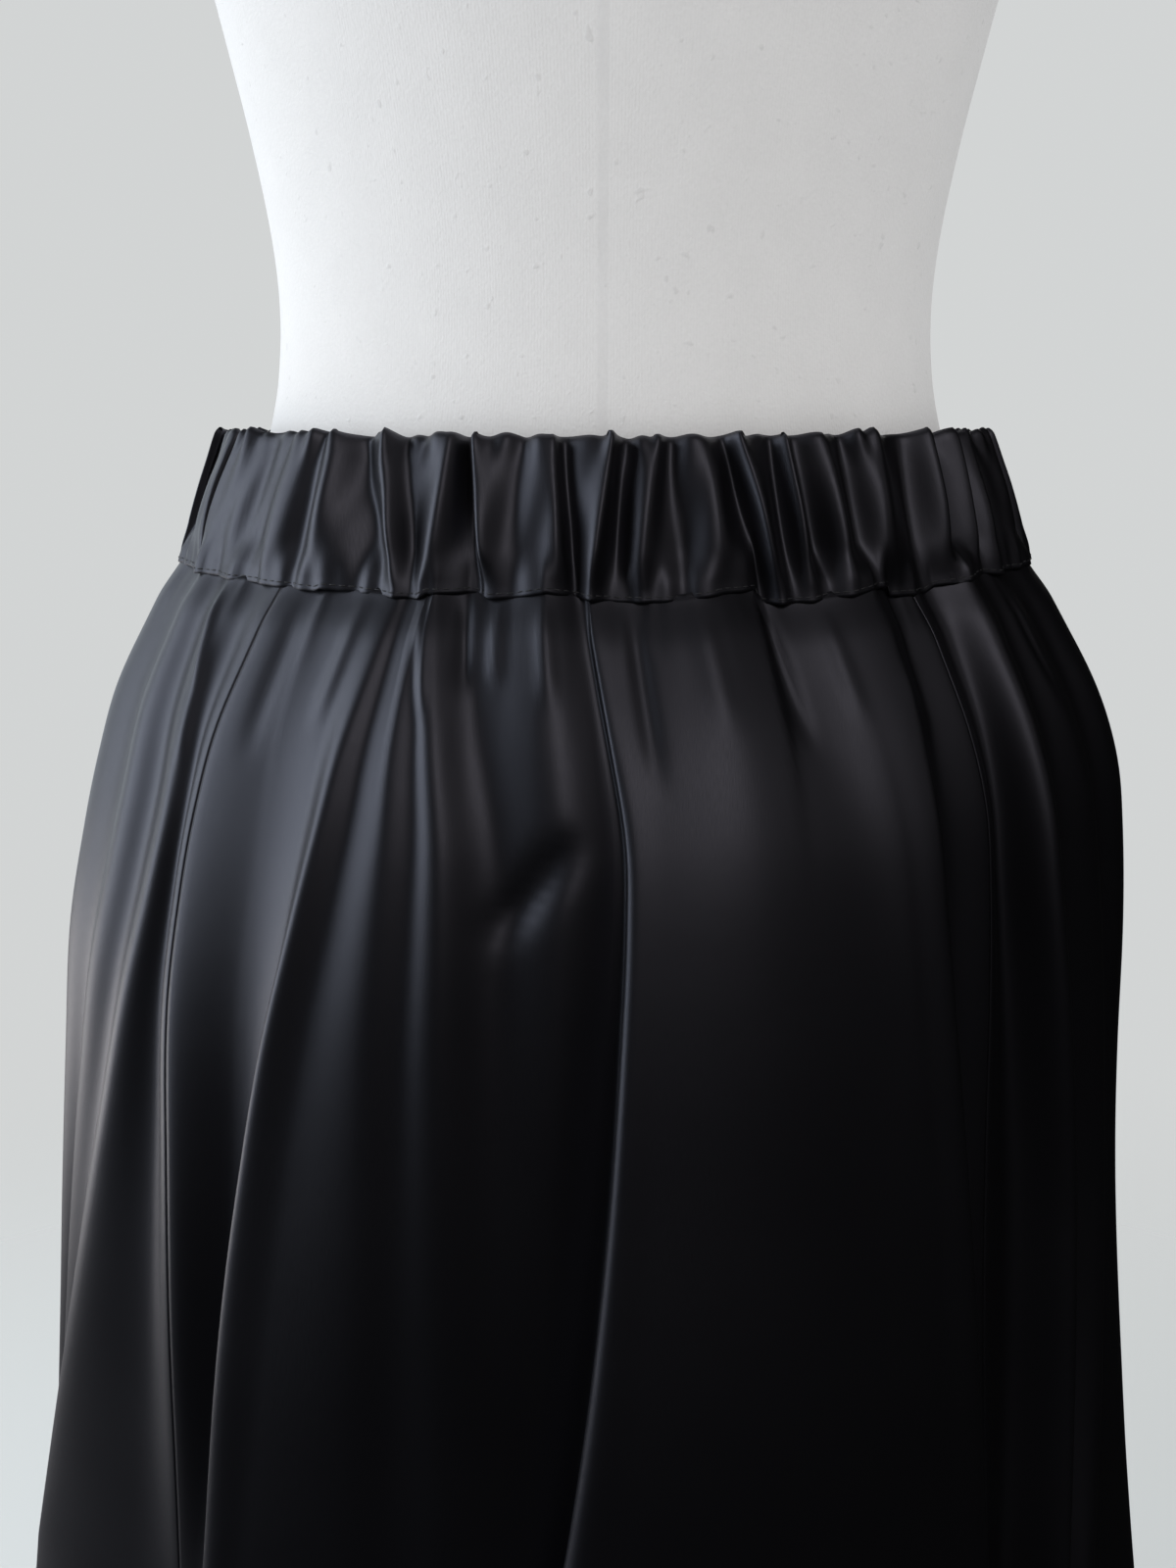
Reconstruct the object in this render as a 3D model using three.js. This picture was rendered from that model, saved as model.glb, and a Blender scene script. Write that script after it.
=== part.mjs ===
// A balloon maxi skirt of heavy black satin on a limbless dress form with a round-footed stand.
// Millimetres, +Z up. The origin is the middle of the foot's underside, and the front faces -Y.
//
// The skirt hangs in four gores from a gathered elastic casing, swells below the hips and is drawn
// in again at the floor end by a narrow hem band. Its level sections are closed curves through the
// crests and valleys of its folds, laid on an ellipse that widens and narrows with height.
import * as THREE from "three";

// ---- Driving sizes ----
const CLOTH = 1.6; // wall of the satin
const SEAM_GAP = 0.3; // space between two pieces at a seam
const BAND_TOP_Z = 1039.3; // upper rim of the waistband, at the sides
const WAIST_SEAM_Z = 991.2; // seam between waistband and gores, at the sides
const WAIST_TILT = 0.052; // the waist falls this much to the front for each mm of depth
const HEM_SEAM_Z = 172; // seam between gores and hem band
const HEM_BAND_HEIGHT = 30;
const PANEL_ROWS = 13; // spaces between the level sections of a gore
const STEPS_PER_FOLD = 2; // columns between one fold line and the next
const POLE_RADIUS = 12.5;
const POLE_GAP = 0.3; // between the pole's ends and what they meet
const BASE_RADIUS = 180;
const BASE_HEIGHT = 22;

// The skirt's outline, one row for each level: half width, half depth, and the sideways lean of
// the middle.
const SKIRT_LEVELS = [
  { z: 991, halfWidth: 163, halfDepth: 118, lean: 0 },
  { z: 969, halfWidth: 175, halfDepth: 130, lean: 0 },
  { z: 943, halfWidth: 188, halfDepth: 143, lean: 0 },
  { z: 917, halfWidth: 196, halfDepth: 153, lean: 0 },
  { z: 891, halfWidth: 201, halfDepth: 160, lean: -1.5 },
  { z: 850, halfWidth: 207, halfDepth: 168, lean: -4 },
  { z: 800, halfWidth: 211, halfDepth: 176, lean: -5.5 },
  { z: 740, halfWidth: 216, halfDepth: 185, lean: -6.5 },
  { z: 670, halfWidth: 223, halfDepth: 193, lean: -6.5 },
  { z: 600, halfWidth: 231, halfDepth: 202, lean: -6.5 },
  { z: 500, halfWidth: 245, halfDepth: 216, lean: -6 },
  { z: 400, halfWidth: 257, halfDepth: 228, lean: -4 },
  { z: 320, halfWidth: 262, halfDepth: 232, lean: -2 },
  { z: 260, halfWidth: 258, halfDepth: 228, lean: -1 },
  { z: 215, halfWidth: 244, halfDepth: 215, lean: 0 },
  { z: 185, halfWidth: 226, halfDepth: 199, lean: 0 },
  { z: 168, halfWidth: 214, halfDepth: 189, lean: 0 },
];

// Heights at which each fold's place is given: at the waist seam, high, middle and low.
const FOLD_LEVELS = { waist: 991, high: 905, middle: 765, low: 600 };

// The folds that show at the front, from left to right. turn: degrees round from the front;
// rise: mm out from the outline; each at the waist, high, middle and low levels.
const FRONT_FOLDS = [
  { fold: "hip crest", turn: [-76, -75, -78, -84], rise: [3, 5, 5, 6] },
  { fold: "hip valley", turn: [-68, -66, -72, -79], rise: [-1, -1, -2, -4] },
  { fold: "outer crest", turn: [-62, -59, -66, -75], rise: [3, 4, 3, 2] },
  { fold: "outer valley", turn: [-57.5, -54, -61, -71], rise: [0, -1, 0, 1] },
  { fold: "lit crest", turn: [-53, -49, -55.5, -67], rise: [3, 5, 7, 10] },
  { fold: "lit valley", turn: [-47.5, -46.6, -48, -51], rise: [0, 1, -5, -11] },
  { fold: "left seam", turn: [-42.3, -44.4, -42, -44], rise: [2, 3, 3, -14] },
  { fold: "left hollow", turn: [-34, -36, -36.8, -40.5], rise: [0, -2, -8, -12] },
  { fold: "left flank", turn: [-29, -30.5, -33.6, -37.5], rise: [1, 0, -5, -2] },
  { fold: "left crest", turn: [-25, -28.1, -32.5, -34.4], rise: [2, 6, 10, 11] },
  { fold: "left shoulder", turn: [-23.4, -25, -28, -31], rise: [1, 2, 7, 9.5] },
  { fold: "soft crest", turn: [-22, -21, -21, -23], rise: [1.5, 4, 4, 1.5] },
  { fold: "soft valley", turn: [-21, -18, -17, -17], rise: [1, 1.5, 0, -5] },
  { fold: "thin crest", turn: [-20, -15, -13, -12.5], rise: [1.6, 3, -1, -8] },
  { fold: "dark valley", turn: [-16.5, -10.5, -8.5, -9], rise: [-3, -4.5, -6.5, -10.5] },
  { fold: "faint crest", turn: [-7.3, -4, -4, -6.8], rise: [2, -1.5, -10.5, -13.5] },
  { fold: "middle flank", turn: [-3.5, 1.5, 1.2, -4.6], rise: [-1.5, -7, -14, -16] },
  { fold: "middle crest", turn: [-2, 1.9, 0.7, -5.5], rise: [0, 3, 7, 8.5] },
  { fold: "panel dip", turn: [3, 5, 4.8, 0.5], rise: [-1, 4.6, 9.6, 12] },
  { fold: "panel crown", turn: [10, 13, 15, 13], rise: [2, 7, 10, 11] },
  { fold: "panel line", turn: [17.6, 23, 25, 23], rise: [-2, 5, 9, 9] },
  { fold: "panel side", turn: [26, 28, 31, 31], rise: [3, 7, 9, 9] },
  { fold: "pleat edge", turn: [32, 31.7, 35.2, 36.5], rise: [4, 8, 9, 9] },
  { fold: "pleat flank", turn: [33.4, 32.8, 36, 37.3], rise: [1, -3, -8, -11] },
  { fold: "pleat hollow", turn: [36.5, 36.7, 38.2, 39], rise: [-2, -7, -10, -12] },
  { fold: "right seam", turn: [40.2, 41.8, 41.8, 41], rise: [-0.5, -4, -7, -9] },
  { fold: "right hollow", turn: [44.2, 45, 47.5, 44], rise: [-3, -8, -9, -10] },
  { fold: "right crest", turn: [48.4, 47.4, 51, 46.8], rise: [5, 9, 9, 9] },
  { fold: "right valley", turn: [53, 54, 56, 49.4], rise: [0, -2, -6, -7] },
  { fold: "low crest", turn: [58, 61, 62.7, 52], rise: [2, 3, 5, 8] },
  { fold: "low valley", turn: [64, 67, 68, 60], rise: [-1, -1, -2, -8] },
  { fold: "side crest", turn: [72, 74, 75, 74], rise: [3, 7, 5, 6] },
];

// The plainer folds of the hidden stretches, between two turns: how many fold lines there are and
// how far the tallest stands out.
const SIDE_FOLDS = { right: { from: 82, to: 135, lines: 7 }, left: { from: 225, to: 277, lines: 7 } };
const BACK_FOLDS = { from: 135, to: 225, lines: 11 };
const HIDDEN_RISE = { waist: 2.4, high: 5, middle: 7.5, low: 9 };

// The gathers of the waistband that show at the front, from left to right: turn at the upper rim
// and at the seam in degrees, and rise in mm. A ridge is followed by the valley on its right.
const BAND_GATHERS = [
  { ridge: { upper: -66, lower: -66, rise: 2.5 }, valley: { upper: -64.2, lower: -65, rise: -1 } },
  { ridge: { upper: -62, lower: -64, rise: 2 }, valley: { upper: -52, lower: -50, rise: -2 } },
  { ridge: { upper: -44, lower: -46, rise: 2.5 }, valley: { upper: -41, lower: -41, rise: -1 } },
  { ridge: { upper: -38, lower: -36, rise: 3 }, valley: { upper: -35, lower: -27.5, rise: -4 } },
  { ridge: { upper: -30, lower: -25, rise: 2.5 }, valley: { upper: -27, lower: -23, rise: -2.5 } },
  { ridge: { upper: -20.5, lower: -20.8, rise: 3 }, valley: { upper: -18.6, lower: -15.6, rise: -5 } },
  { ridge: { upper: -17, lower: -14, rise: 3 }, valley: { upper: -12, lower: -10, rise: -1.5 } },
  { ridge: { upper: -7.2, lower: -5.6, rise: 2.5 }, valley: { upper: -5.4, lower: -3.8, rise: -3 } },
  { ridge: { upper: 0, lower: -2, rise: 3.5 }, valley: { upper: 2, lower: 0.6, rise: -3 } },
  { ridge: { upper: 6, lower: 3.4, rise: 1.5 }, valley: { upper: 8, lower: 8.6, rise: -3 } },
  { ridge: { upper: 12, lower: 14, rise: 2 }, valley: { upper: 15, lower: 18.2, rise: -4 } },
  { ridge: { upper: 17, lower: 20, rise: 3 }, valley: { upper: 21, lower: 21.8, rise: -2 } },
  { ridge: { upper: 23, lower: 24, rise: 3 }, valley: { upper: 25, lower: 26.4, rise: -4 } },
  { ridge: { upper: 29, lower: 29, rise: 2.5 }, valley: { upper: 32, lower: 32, rise: -2 } },
  { ridge: { upper: 36, lower: 36, rise: 3 }, valley: { upper: 44, lower: 42, rise: -4 } },
  { ridge: { upper: 48, lower: 46, rise: 3 }, valley: { upper: 51, lower: 48.4, rise: -3 } },
  { ridge: { upper: 55, lower: 52, rise: 3 }, valley: { upper: 57, lower: 54.6, rise: -2 } },
  { ridge: { upper: 60, lower: 57, rise: 2.5 }, valley: { upper: 64, lower: 62, rise: -2 } },
];
const HIDDEN_GATHERS = { from: 69, to: 288, lines: 48, rise: 3 };
const BAND_RIM = { halfWidth: 145.5, halfDepth: 105 }; // outline at the upper rim
const BAND_ROWS = 4;

const HEM_GATHERS = { lines: 72, rise: 2.4, reach: 150 }; // the puckers above the hem band
const HEM_BAND_ROWS = 2;

// The torso, one row for each level: half width, half depth and how far its middle is forward.
const TORSO_LEVELS = [
  { z: 812, halfWidth: 152, halfDepth: 108, forward: 0 },
  { z: 820, halfWidth: 159, halfDepth: 114, forward: 0 },
  { z: 845, halfWidth: 165, halfDepth: 119, forward: 0 },
  { z: 890, halfWidth: 167, halfDepth: 121, forward: 0 },
  { z: 930, halfWidth: 162, halfDepth: 116.5, forward: 0 },
  { z: 960, halfWidth: 154, halfDepth: 110, forward: 0 },
  { z: 991, halfWidth: 144, halfDepth: 103, forward: 0 },
  { z: 1015, halfWidth: 135.5, halfDepth: 98, forward: 0 },
  { z: 1036, halfWidth: 129, halfDepth: 94.5, forward: 0 },
  { z: 1054, halfWidth: 125.2, halfDepth: 92.4, forward: 0 },
  { z: 1078, halfWidth: 123.5, halfDepth: 91.5, forward: 0 },
  { z: 1104, halfWidth: 125.2, halfDepth: 92.6, forward: 0.5 },
  { z: 1138, halfWidth: 130.8, halfDepth: 96, forward: 2 },
  { z: 1172, halfWidth: 138, halfDepth: 101, forward: 4 },
  { z: 1210, halfWidth: 146, halfDepth: 109, forward: 6.5 },
  { z: 1250, halfWidth: 151.5, halfDepth: 114.5, forward: 8 },
  { z: 1290, halfWidth: 152.5, halfDepth: 110, forward: 5 },
  { z: 1325, halfWidth: 156, halfDepth: 100, forward: 0 },
  { z: 1355, halfWidth: 164, halfDepth: 90, forward: -5 },
  { z: 1380, halfWidth: 170, halfDepth: 81, forward: -9 },
  { z: 1398, halfWidth: 168, halfDepth: 75, forward: -11 },
  { z: 1412, halfWidth: 154, halfDepth: 70, forward: -12 },
  { z: 1425, halfWidth: 128, halfDepth: 65, forward: -12 },
  { z: 1438, halfWidth: 98, halfDepth: 60, forward: -11 },
  { z: 1452, halfWidth: 72, halfDepth: 56.5, forward: -10 },
  { z: 1468, halfWidth: 59, halfDepth: 54, forward: -8 },
  { z: 1490, halfWidth: 54, halfDepth: 51, forward: -6 },
  { z: 1496, halfWidth: 47, halfDepth: 45, forward: -6 },
];
const TORSO_SIDES = 44;

// ---- Materials ----
const satin = new THREE.MeshStandardMaterial({ color: 0x141316, roughness: 0.42, metalness: 0 });
const jersey = new THREE.MeshStandardMaterial({ color: 0xe4e4e1, roughness: 0.95, metalness: 0 });
const steel = new THREE.MeshStandardMaterial({ color: 0xe2e1dd, roughness: 0.45, metalness: 0.1 });

// ---- Curves ----
const degrees = Math.PI / 180;
const { lerp, smoothstep } = THREE.MathUtils;

// The cubic through the points (xs, ys), xs rising, with each slope taken from its neighbours.
function cubicThrough(xs, ys, x) {
  const last = xs.length - 1;
  const clamped = Math.min(Math.max(x, xs[0]), xs[last]);
  let i = 0;
  while (i < last - 1 && clamped > xs[i + 1]) i += 1;
  const slope = (k) => {
    const before = Math.max(k - 1, 0);
    const after = Math.min(k + 1, last);
    return (ys[after] - ys[before]) / (xs[after] - xs[before]);
  };
  const span = xs[i + 1] - xs[i];
  const t = (clamped - xs[i]) / span;
  const rest = 1 - t;
  return (
    ys[i] * rest * rest * (1 + 2 * t) +
    slope(i) * span * t * rest * rest +
    ys[i + 1] * t * t * (3 - 2 * t) -
    slope(i + 1) * span * t * t * rest
  );
}

// One named column of a table of levels, read at a height.
function columnAt(levels, name, z) {
  const rising = [...levels].sort((a, b) => a.z - b.z);
  return cubicThrough(rising.map((level) => level.z), rising.map((level) => level[name]), z);
}

// A closed curve through fold lines that carry { turn, rise }, at a place counted in fold lines.
function aroundFolds(lines, place) {
  const count = lines.length;
  const whole = Math.floor(place);
  const t = place - whole;
  const at = (k) => {
    const index = whole + k;
    const laps = Math.floor(index / count);
    const line = lines[index - laps * count];
    return { turn: line.turn + 360 * laps, rise: line.rise };
  };
  const [a, b, c, d] = [at(-1), at(0), at(1), at(2)];
  const through = (name) => {
    const [p, q, r, s] = [a[name], b[name], c[name], d[name]];
    return q + (t / 2) * (r - p + t * (2 * p - 5 * q + 4 * r - s + t * (3 * (q - r) + s - p)));
  };
  return { turn: through("turn"), rise: through("rise") };
}

// Plain folds between two turns, uneven in spacing and height, crest and valley by turns.
function plainFolds({ from, to, lines }, rises) {
  return Array.from({ length: lines }, (_, k) => {
    const spacing = (to - from) / (lines + 1);
    const wander = 0.22 * spacing * Math.sin(2.7 * k + from);
    const turn = from + spacing * (k + 1) + wander;
    const height = (k % 2 === 0 ? -1 : 1) * (0.8 + 0.25 * Math.sin(1.9 * k + to));
    return {
      turn: [turn, turn, turn, turn],
      rise: Object.values(rises).map((rise) => rise * height),
    };
  });
}

// ---- The skirt's surface ----
const seamFold = (turn) => ({ turn: [turn, turn, turn, turn], rise: [0, -1, -2, -2] });

// Every fold line of the skirt, once round from the left seam at the front.
function skirtFolds() {
  const leftSeam = FRONT_FOLDS.findIndex((row) => row.fold === "left seam");
  const rightSeam = FRONT_FOLDS.findIndex((row) => row.fold === "right seam");
  const shown = FRONT_FOLDS.slice(leftSeam);
  const wrapped = FRONT_FOLDS.slice(0, leftSeam).map(({ turn, rise }) => ({
    turn: turn.map((value) => value + 360),
    rise,
  }));
  const folds = [
    ...shown,
    ...plainFolds(SIDE_FOLDS.right, HIDDEN_RISE),
    seamFold(SIDE_FOLDS.right.to),
    ...plainFolds(BACK_FOLDS, HIDDEN_RISE),
    seamFold(SIDE_FOLDS.left.from),
    ...plainFolds(SIDE_FOLDS.left, HIDDEN_RISE),
    ...wrapped,
  ];
  const front = rightSeam - leftSeam;
  const backRight = shown.length + SIDE_FOLDS.right.lines;
  const backLeft = backRight + BACK_FOLDS.lines + 1;
  return { folds, seams: { left: 0, right: front, backRight, backLeft, all: folds.length } };
}

const { folds: FOLDS, seams: SEAMS } = skirtFolds();
const FOLD_HEIGHTS = [FOLD_LEVELS.low, FOLD_LEVELS.middle, FOLD_LEVELS.high, FOLD_LEVELS.waist];

// The fold lines as they cross one height; near the hem they sink into the puckers.
function foldsAt(z) {
  const depth = smoothstep(z, HEM_SEAM_Z, HEM_SEAM_Z + HEM_GATHERS.reach);
  return FOLDS.map(({ turn, rise }) => ({
    turn: cubicThrough(FOLD_HEIGHTS, [...turn].reverse(), z),
    rise: cubicThrough(FOLD_HEIGHTS, [...rise].reverse(), z) * depth,
  }));
}

// Puckers that the hem band draws in, deepest just above it.
function hemPucker(turn, z) {
  const near = 1 - smoothstep(z, HEM_SEAM_Z, HEM_SEAM_Z + HEM_GATHERS.reach);
  const wave = Math.cos(HEM_GATHERS.lines * 0.5 * turn * degrees + 1.3 * Math.sin(5 * turn * degrees));
  return HEM_GATHERS.rise * near * wave;
}

// A point of a level section: an ellipse, pushed out by rise.
function onEllipse(outline, turn, rise, z) {
  return new THREE.Vector3(
    (outline.lean ?? 0) + (outline.halfWidth + rise) * Math.sin(turn * degrees),
    -(outline.halfDepth + rise) * Math.cos(turn * degrees),
    z,
  );
}

// Grid of the skirt's outer surface: rows down from the waist seam, columns once round.
function skirtGrid() {
  const columns = SEAMS.all * STEPS_PER_FOLD;
  const top = WAIST_SEAM_Z - SEAM_GAP / 2;
  const bottom = HEM_SEAM_Z + SEAM_GAP / 2;
  return Array.from({ length: PANEL_ROWS + 1 }, (_, row) => {
    const share = row / PANEL_ROWS;
    const level = lerp(top, bottom, share);
    const outline = {
      halfWidth: columnAt(SKIRT_LEVELS, "halfWidth", level),
      halfDepth: columnAt(SKIRT_LEVELS, "halfDepth", level),
      lean: columnAt(SKIRT_LEVELS, "lean", level),
    };
    const lines = foldsAt(level);
    const tilt = WAIST_TILT * (1 - share);
    const points = Array.from({ length: columns }, (_, column) => {
      const { turn, rise } = aroundFolds(lines, column / STEPS_PER_FOLD);
      const point = onEllipse(outline, turn, rise + hemPucker(turn, level), level);
      point.z += tilt * point.y;
      return point;
    });
    return { points, tilt };
  });
}

// ---- The waistband's surface ----
// The gathers once round, as lines with a turn at the upper rim and at the seam.
function bandGathers() {
  const shown = BAND_GATHERS.flatMap(({ ridge, valley }) => [ridge, valley]);
  const { from, to, lines, rise } = HIDDEN_GATHERS;
  const spacing = (to - from) / lines;
  const hidden = Array.from({ length: lines }, (_, k) => {
    const turn = from + spacing * (k + 0.3 * Math.sin(2.1 * k));
    const height = (k % 2 === 0 ? 1 : -1) * rise * (0.8 + 0.3 * Math.sin(1.7 * k));
    return { upper: turn + 0.3 * spacing * Math.sin(1.3 * k), lower: turn, rise: height };
  });
  return [...shown, ...hidden];
}

// The rise of the skirt's own top edge at a turn, which the waistband's lower edge follows.
function topEdgeRise(turn) {
  const lines = foldsAt(WAIST_SEAM_Z);
  const first = lines[0].turn;
  const wanted = first + THREE.MathUtils.euclideanModulo(turn - first, 360);
  const next = lines.findIndex((line) => line.turn > wanted);
  const after = next === -1 ? { turn: first + 360, rise: lines[0].rise } : lines[next];
  const before = lines[(next === -1 ? lines.length : next) - 1];
  return lerp(before.rise, after.rise, (wanted - before.turn) / (after.turn - before.turn));
}

// Grid of the waistband's outer surface: rows down from the upper rim.
function bandGrid() {
  const gathers = bandGathers();
  const seamOutline = SKIRT_LEVELS[0];
  return Array.from({ length: BAND_ROWS + 1 }, (_, row) => {
    const share = row / BAND_ROWS;
    const level = lerp(BAND_TOP_Z, WAIST_SEAM_Z + SEAM_GAP / 2, share);
    const outline = {
      halfWidth: lerp(BAND_RIM.halfWidth, seamOutline.halfWidth, share),
      halfDepth: lerp(BAND_RIM.halfDepth, seamOutline.halfDepth, share),
    };
    const points = gathers.map(({ upper, lower, rise }) => {
      const turn = lerp(upper, lower, share);
      const out = lerp(rise, topEdgeRise(turn), share ** 3);
      const point = onEllipse(outline, turn, out, level);
      point.z += WAIST_TILT * point.y;
      return point;
    });
    return { points, tilt: WAIST_TILT };
  });
}

// ---- The hem band's surface ----
function hemBandGrid() {
  const columns = HEM_GATHERS.lines;
  const outline = SKIRT_LEVELS.at(-1);
  return Array.from({ length: HEM_BAND_ROWS + 1 }, (_, row) => {
    const level = HEM_SEAM_Z - SEAM_GAP / 2 - (HEM_BAND_HEIGHT * row) / HEM_BAND_ROWS;
    const points = Array.from({ length: columns }, (_, column) => {
      const turn = (360 * column) / columns;
      const flatter = 1 - (0.5 * row) / HEM_BAND_ROWS;
      return onEllipse(outline, turn, flatter * hemPucker(turn, HEM_SEAM_Z), level);
    });
    return { points, tilt: 0 };
  });
}

// ---- Walls of cloth ----
// Level normals of a closed grid, from the neighbours on either side.
function levelNormals(points) {
  const count = points.length;
  return points.map((_, column) => {
    const before = points[(column + count - 1) % count];
    const after = points[(column + 1) % count];
    return new THREE.Vector3(after.y - before.y, before.x - after.x, 0).normalize();
  });
}

// Moves a point level by (x, y), keeping it in its row's tilted plane.
function movedLevel(point, direction, distance, tilt) {
  const moved = point.clone().addScaledVector(direction, distance);
  moved.z += tilt * (moved.y - point.y);
  return moved;
}

// A wall of cloth over some columns of a closed grid. An open stretch keeps half the seam gap free
// at each side; a stretch of all the columns closes on itself.
function clothWall(grid, first, last) {
  const count = grid[0].points.length;
  const closed = last - first === count;
  const columns = closed ? count : last - first + 1;
  const outer = [];
  const inner = [];
  for (const { points, tilt } of grid) {
    const normals = levelNormals(points);
    for (let k = 0; k < columns; k += 1) {
      const index = (first + k) % count;
      const normal = normals[index];
      const along = new THREE.Vector3(-normal.y, normal.x, 0);
      const atSide = closed ? 0 : Number(k === 0) - Number(k === columns - 1);
      const edge = movedLevel(points[index], along, (atSide * SEAM_GAP) / 2, tilt);
      outer.push(edge);
      inner.push(movedLevel(edge, normal, -CLOTH, tilt));
    }
  }
  const vertices = [...outer, ...inner];
  const inside = outer.length;
  const faces = [];
  const quad = (a, b, c, d) => faces.push(a, b, c, a, c, d);
  const rows = grid.length - 1;
  const spans = closed ? columns : columns - 1;
  for (let row = 0; row < rows; row += 1) {
    for (let k = 0; k < spans; k += 1) {
      const next = (k + 1) % columns;
      const [a, b] = [row * columns + k, row * columns + next];
      const [c, d] = [a + columns, b + columns];
      quad(a, c, d, b);
      quad(inside + a, inside + b, inside + d, inside + c);
    }
  }
  for (let k = 0; k < spans; k += 1) {
    const next = (k + 1) % columns;
    const low = rows * columns;
    quad(k, next, inside + next, inside + k);
    quad(low + next, low + k, inside + low + k, inside + low + next);
  }
  if (!closed) {
    for (let row = 0; row < rows; row += 1) {
      const a = row * columns;
      const b = a + columns;
      quad(a, inside + a, inside + b, b);
      const [c, d] = [a + columns - 1, b + columns - 1];
      quad(c, d, inside + d, inside + c);
    }
  }
  return meshData(vertices, faces);
}

function meshData(vertices, faces) {
  const geometry = new THREE.BufferGeometry().setFromPoints(vertices);
  geometry.setIndex(faces);
  geometry.computeVertexNormals();
  return geometry;
}

// ---- The dress form and its stand ----
// A closed loft through the torso's level ellipses, flat underneath and on top of the neck.
function torsoGeometry() {
  const sides = TORSO_SIDES;
  const vertices = TORSO_LEVELS.flatMap((level) =>
    Array.from({ length: sides }, (_, k) => {
      const point = onEllipse(level, (360 * k) / sides, 0, level.z);
      point.y -= level.forward;
      return point;
    }),
  );
  const bottom = vertices.length;
  const top = bottom + 1;
  const [lowest, highest] = [TORSO_LEVELS[0], TORSO_LEVELS.at(-1)];
  vertices.push(new THREE.Vector3(0, -lowest.forward, lowest.z));
  vertices.push(new THREE.Vector3(0, -highest.forward, highest.z));
  const faces = [];
  for (let k = 0; k < sides; k += 1) {
    const next = (k + 1) % sides;
    for (let row = 0; row < TORSO_LEVELS.length - 1; row += 1) {
      const [a, b] = [row * sides + k, row * sides + next];
      faces.push(a, b, b + sides, a, b + sides, a + sides);
    }
    const rim = (TORSO_LEVELS.length - 1) * sides;
    faces.push(bottom, next, k, top, rim + k, rim + next);
  }
  return meshData(vertices, faces);
}

// A round foot with a rounded upper edge, turned about its axis.
function baseGeometry() {
  const round = BASE_HEIGHT * 0.45;
  const profile = new THREE.Path();
  profile.moveTo(0, 0);
  profile.lineTo(BASE_RADIUS, 0);
  profile.lineTo(BASE_RADIUS, BASE_HEIGHT - round);
  profile.quadraticCurveTo(BASE_RADIUS, BASE_HEIGHT, BASE_RADIUS - 2 * round, BASE_HEIGHT);
  profile.lineTo(0, BASE_HEIGHT);
  const geometry = new THREE.LatheGeometry(profile.getPoints(5), 64);
  return geometry.rotateX(Math.PI / 2);
}

function poleGeometry(length) {
  return new THREE.CylinderGeometry(POLE_RADIUS, POLE_RADIUS, length, 24).rotateX(Math.PI / 2);
}

// ---- Assembly ----
function piece(name, geometry, material) {
  const mesh = new THREE.Mesh(geometry, material);
  mesh.name = name;
  return mesh;
}

function skirt() {
  const group = new THREE.Group();
  const grid = skirtGrid();
  const gores = {
    panel_front: [SEAMS.left, SEAMS.right],
    panel_right: [SEAMS.right, SEAMS.backRight],
    panel_back: [SEAMS.backRight, SEAMS.backLeft],
    panel_left: [SEAMS.backLeft, SEAMS.all],
  };
  for (const [name, [from, to]] of Object.entries(gores)) {
    group.add(piece(name, clothWall(grid, from * STEPS_PER_FOLD, to * STEPS_PER_FOLD), satin));
  }
  const band = bandGrid();
  const hem = hemBandGrid();
  group.add(piece("waistband", clothWall(band, 0, band[0].points.length), satin));
  group.add(piece("hem_band", clothWall(hem, 0, hem[0].points.length), satin));
  return group;
}

function dressForm() {
  const group = new THREE.Group();
  const foot = BASE_HEIGHT + POLE_GAP;
  const length = TORSO_LEVELS[0].z - POLE_GAP - foot;
  const pole = piece("stand_pole", poleGeometry(length), steel);
  pole.position.z = foot + length / 2;
  group.add(piece("form_torso", torsoGeometry(), jersey));
  group.add(pole);
  group.add(piece("stand_base", baseGeometry(), steel));
  return group;
}

const skirtOnForm = new THREE.Group();
skirtOnForm.add(skirt());
skirtOnForm.add(dressForm());

export default skirtOnForm;
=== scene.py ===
"""A balloon maxi skirt of heavy black satin on a limbless, jersey-covered dress form.

Lengths in the tables are millimetres and turns are degrees round from the front (-Y); meshes are
made in metres, in the frame's own axes.
"""

import logging
import math
from dataclasses import dataclass
from enum import Enum

import bmesh
import bpy
import numpy as np
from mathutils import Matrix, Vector


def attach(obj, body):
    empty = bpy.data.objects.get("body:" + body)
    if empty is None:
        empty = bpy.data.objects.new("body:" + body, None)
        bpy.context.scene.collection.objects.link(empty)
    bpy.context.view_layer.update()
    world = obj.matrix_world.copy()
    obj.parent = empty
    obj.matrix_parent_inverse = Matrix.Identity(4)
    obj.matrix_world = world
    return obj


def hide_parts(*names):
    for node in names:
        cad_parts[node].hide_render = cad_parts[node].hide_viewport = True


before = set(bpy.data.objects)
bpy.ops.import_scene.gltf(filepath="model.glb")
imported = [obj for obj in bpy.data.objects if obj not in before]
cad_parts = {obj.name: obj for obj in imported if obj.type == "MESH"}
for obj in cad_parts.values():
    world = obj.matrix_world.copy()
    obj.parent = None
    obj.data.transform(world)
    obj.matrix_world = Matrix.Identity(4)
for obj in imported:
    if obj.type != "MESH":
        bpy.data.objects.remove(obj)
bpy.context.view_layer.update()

logging.basicConfig(level=logging.INFO, format="%(message)s")
log = logging.getLogger("skirt")

MM = 0.001
TWO_PI = 2.0 * math.pi


class Slot(Enum):
    """The record's material slots."""

    SATIN = "satin"
    JERSEY = "jersey"
    STAND = "stand_paint"


class Hold(Enum):
    """How a sheet of cloth is held."""

    GATHERED = "gathered"


# ---------------------------------------------------------------- tables of sizes

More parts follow.
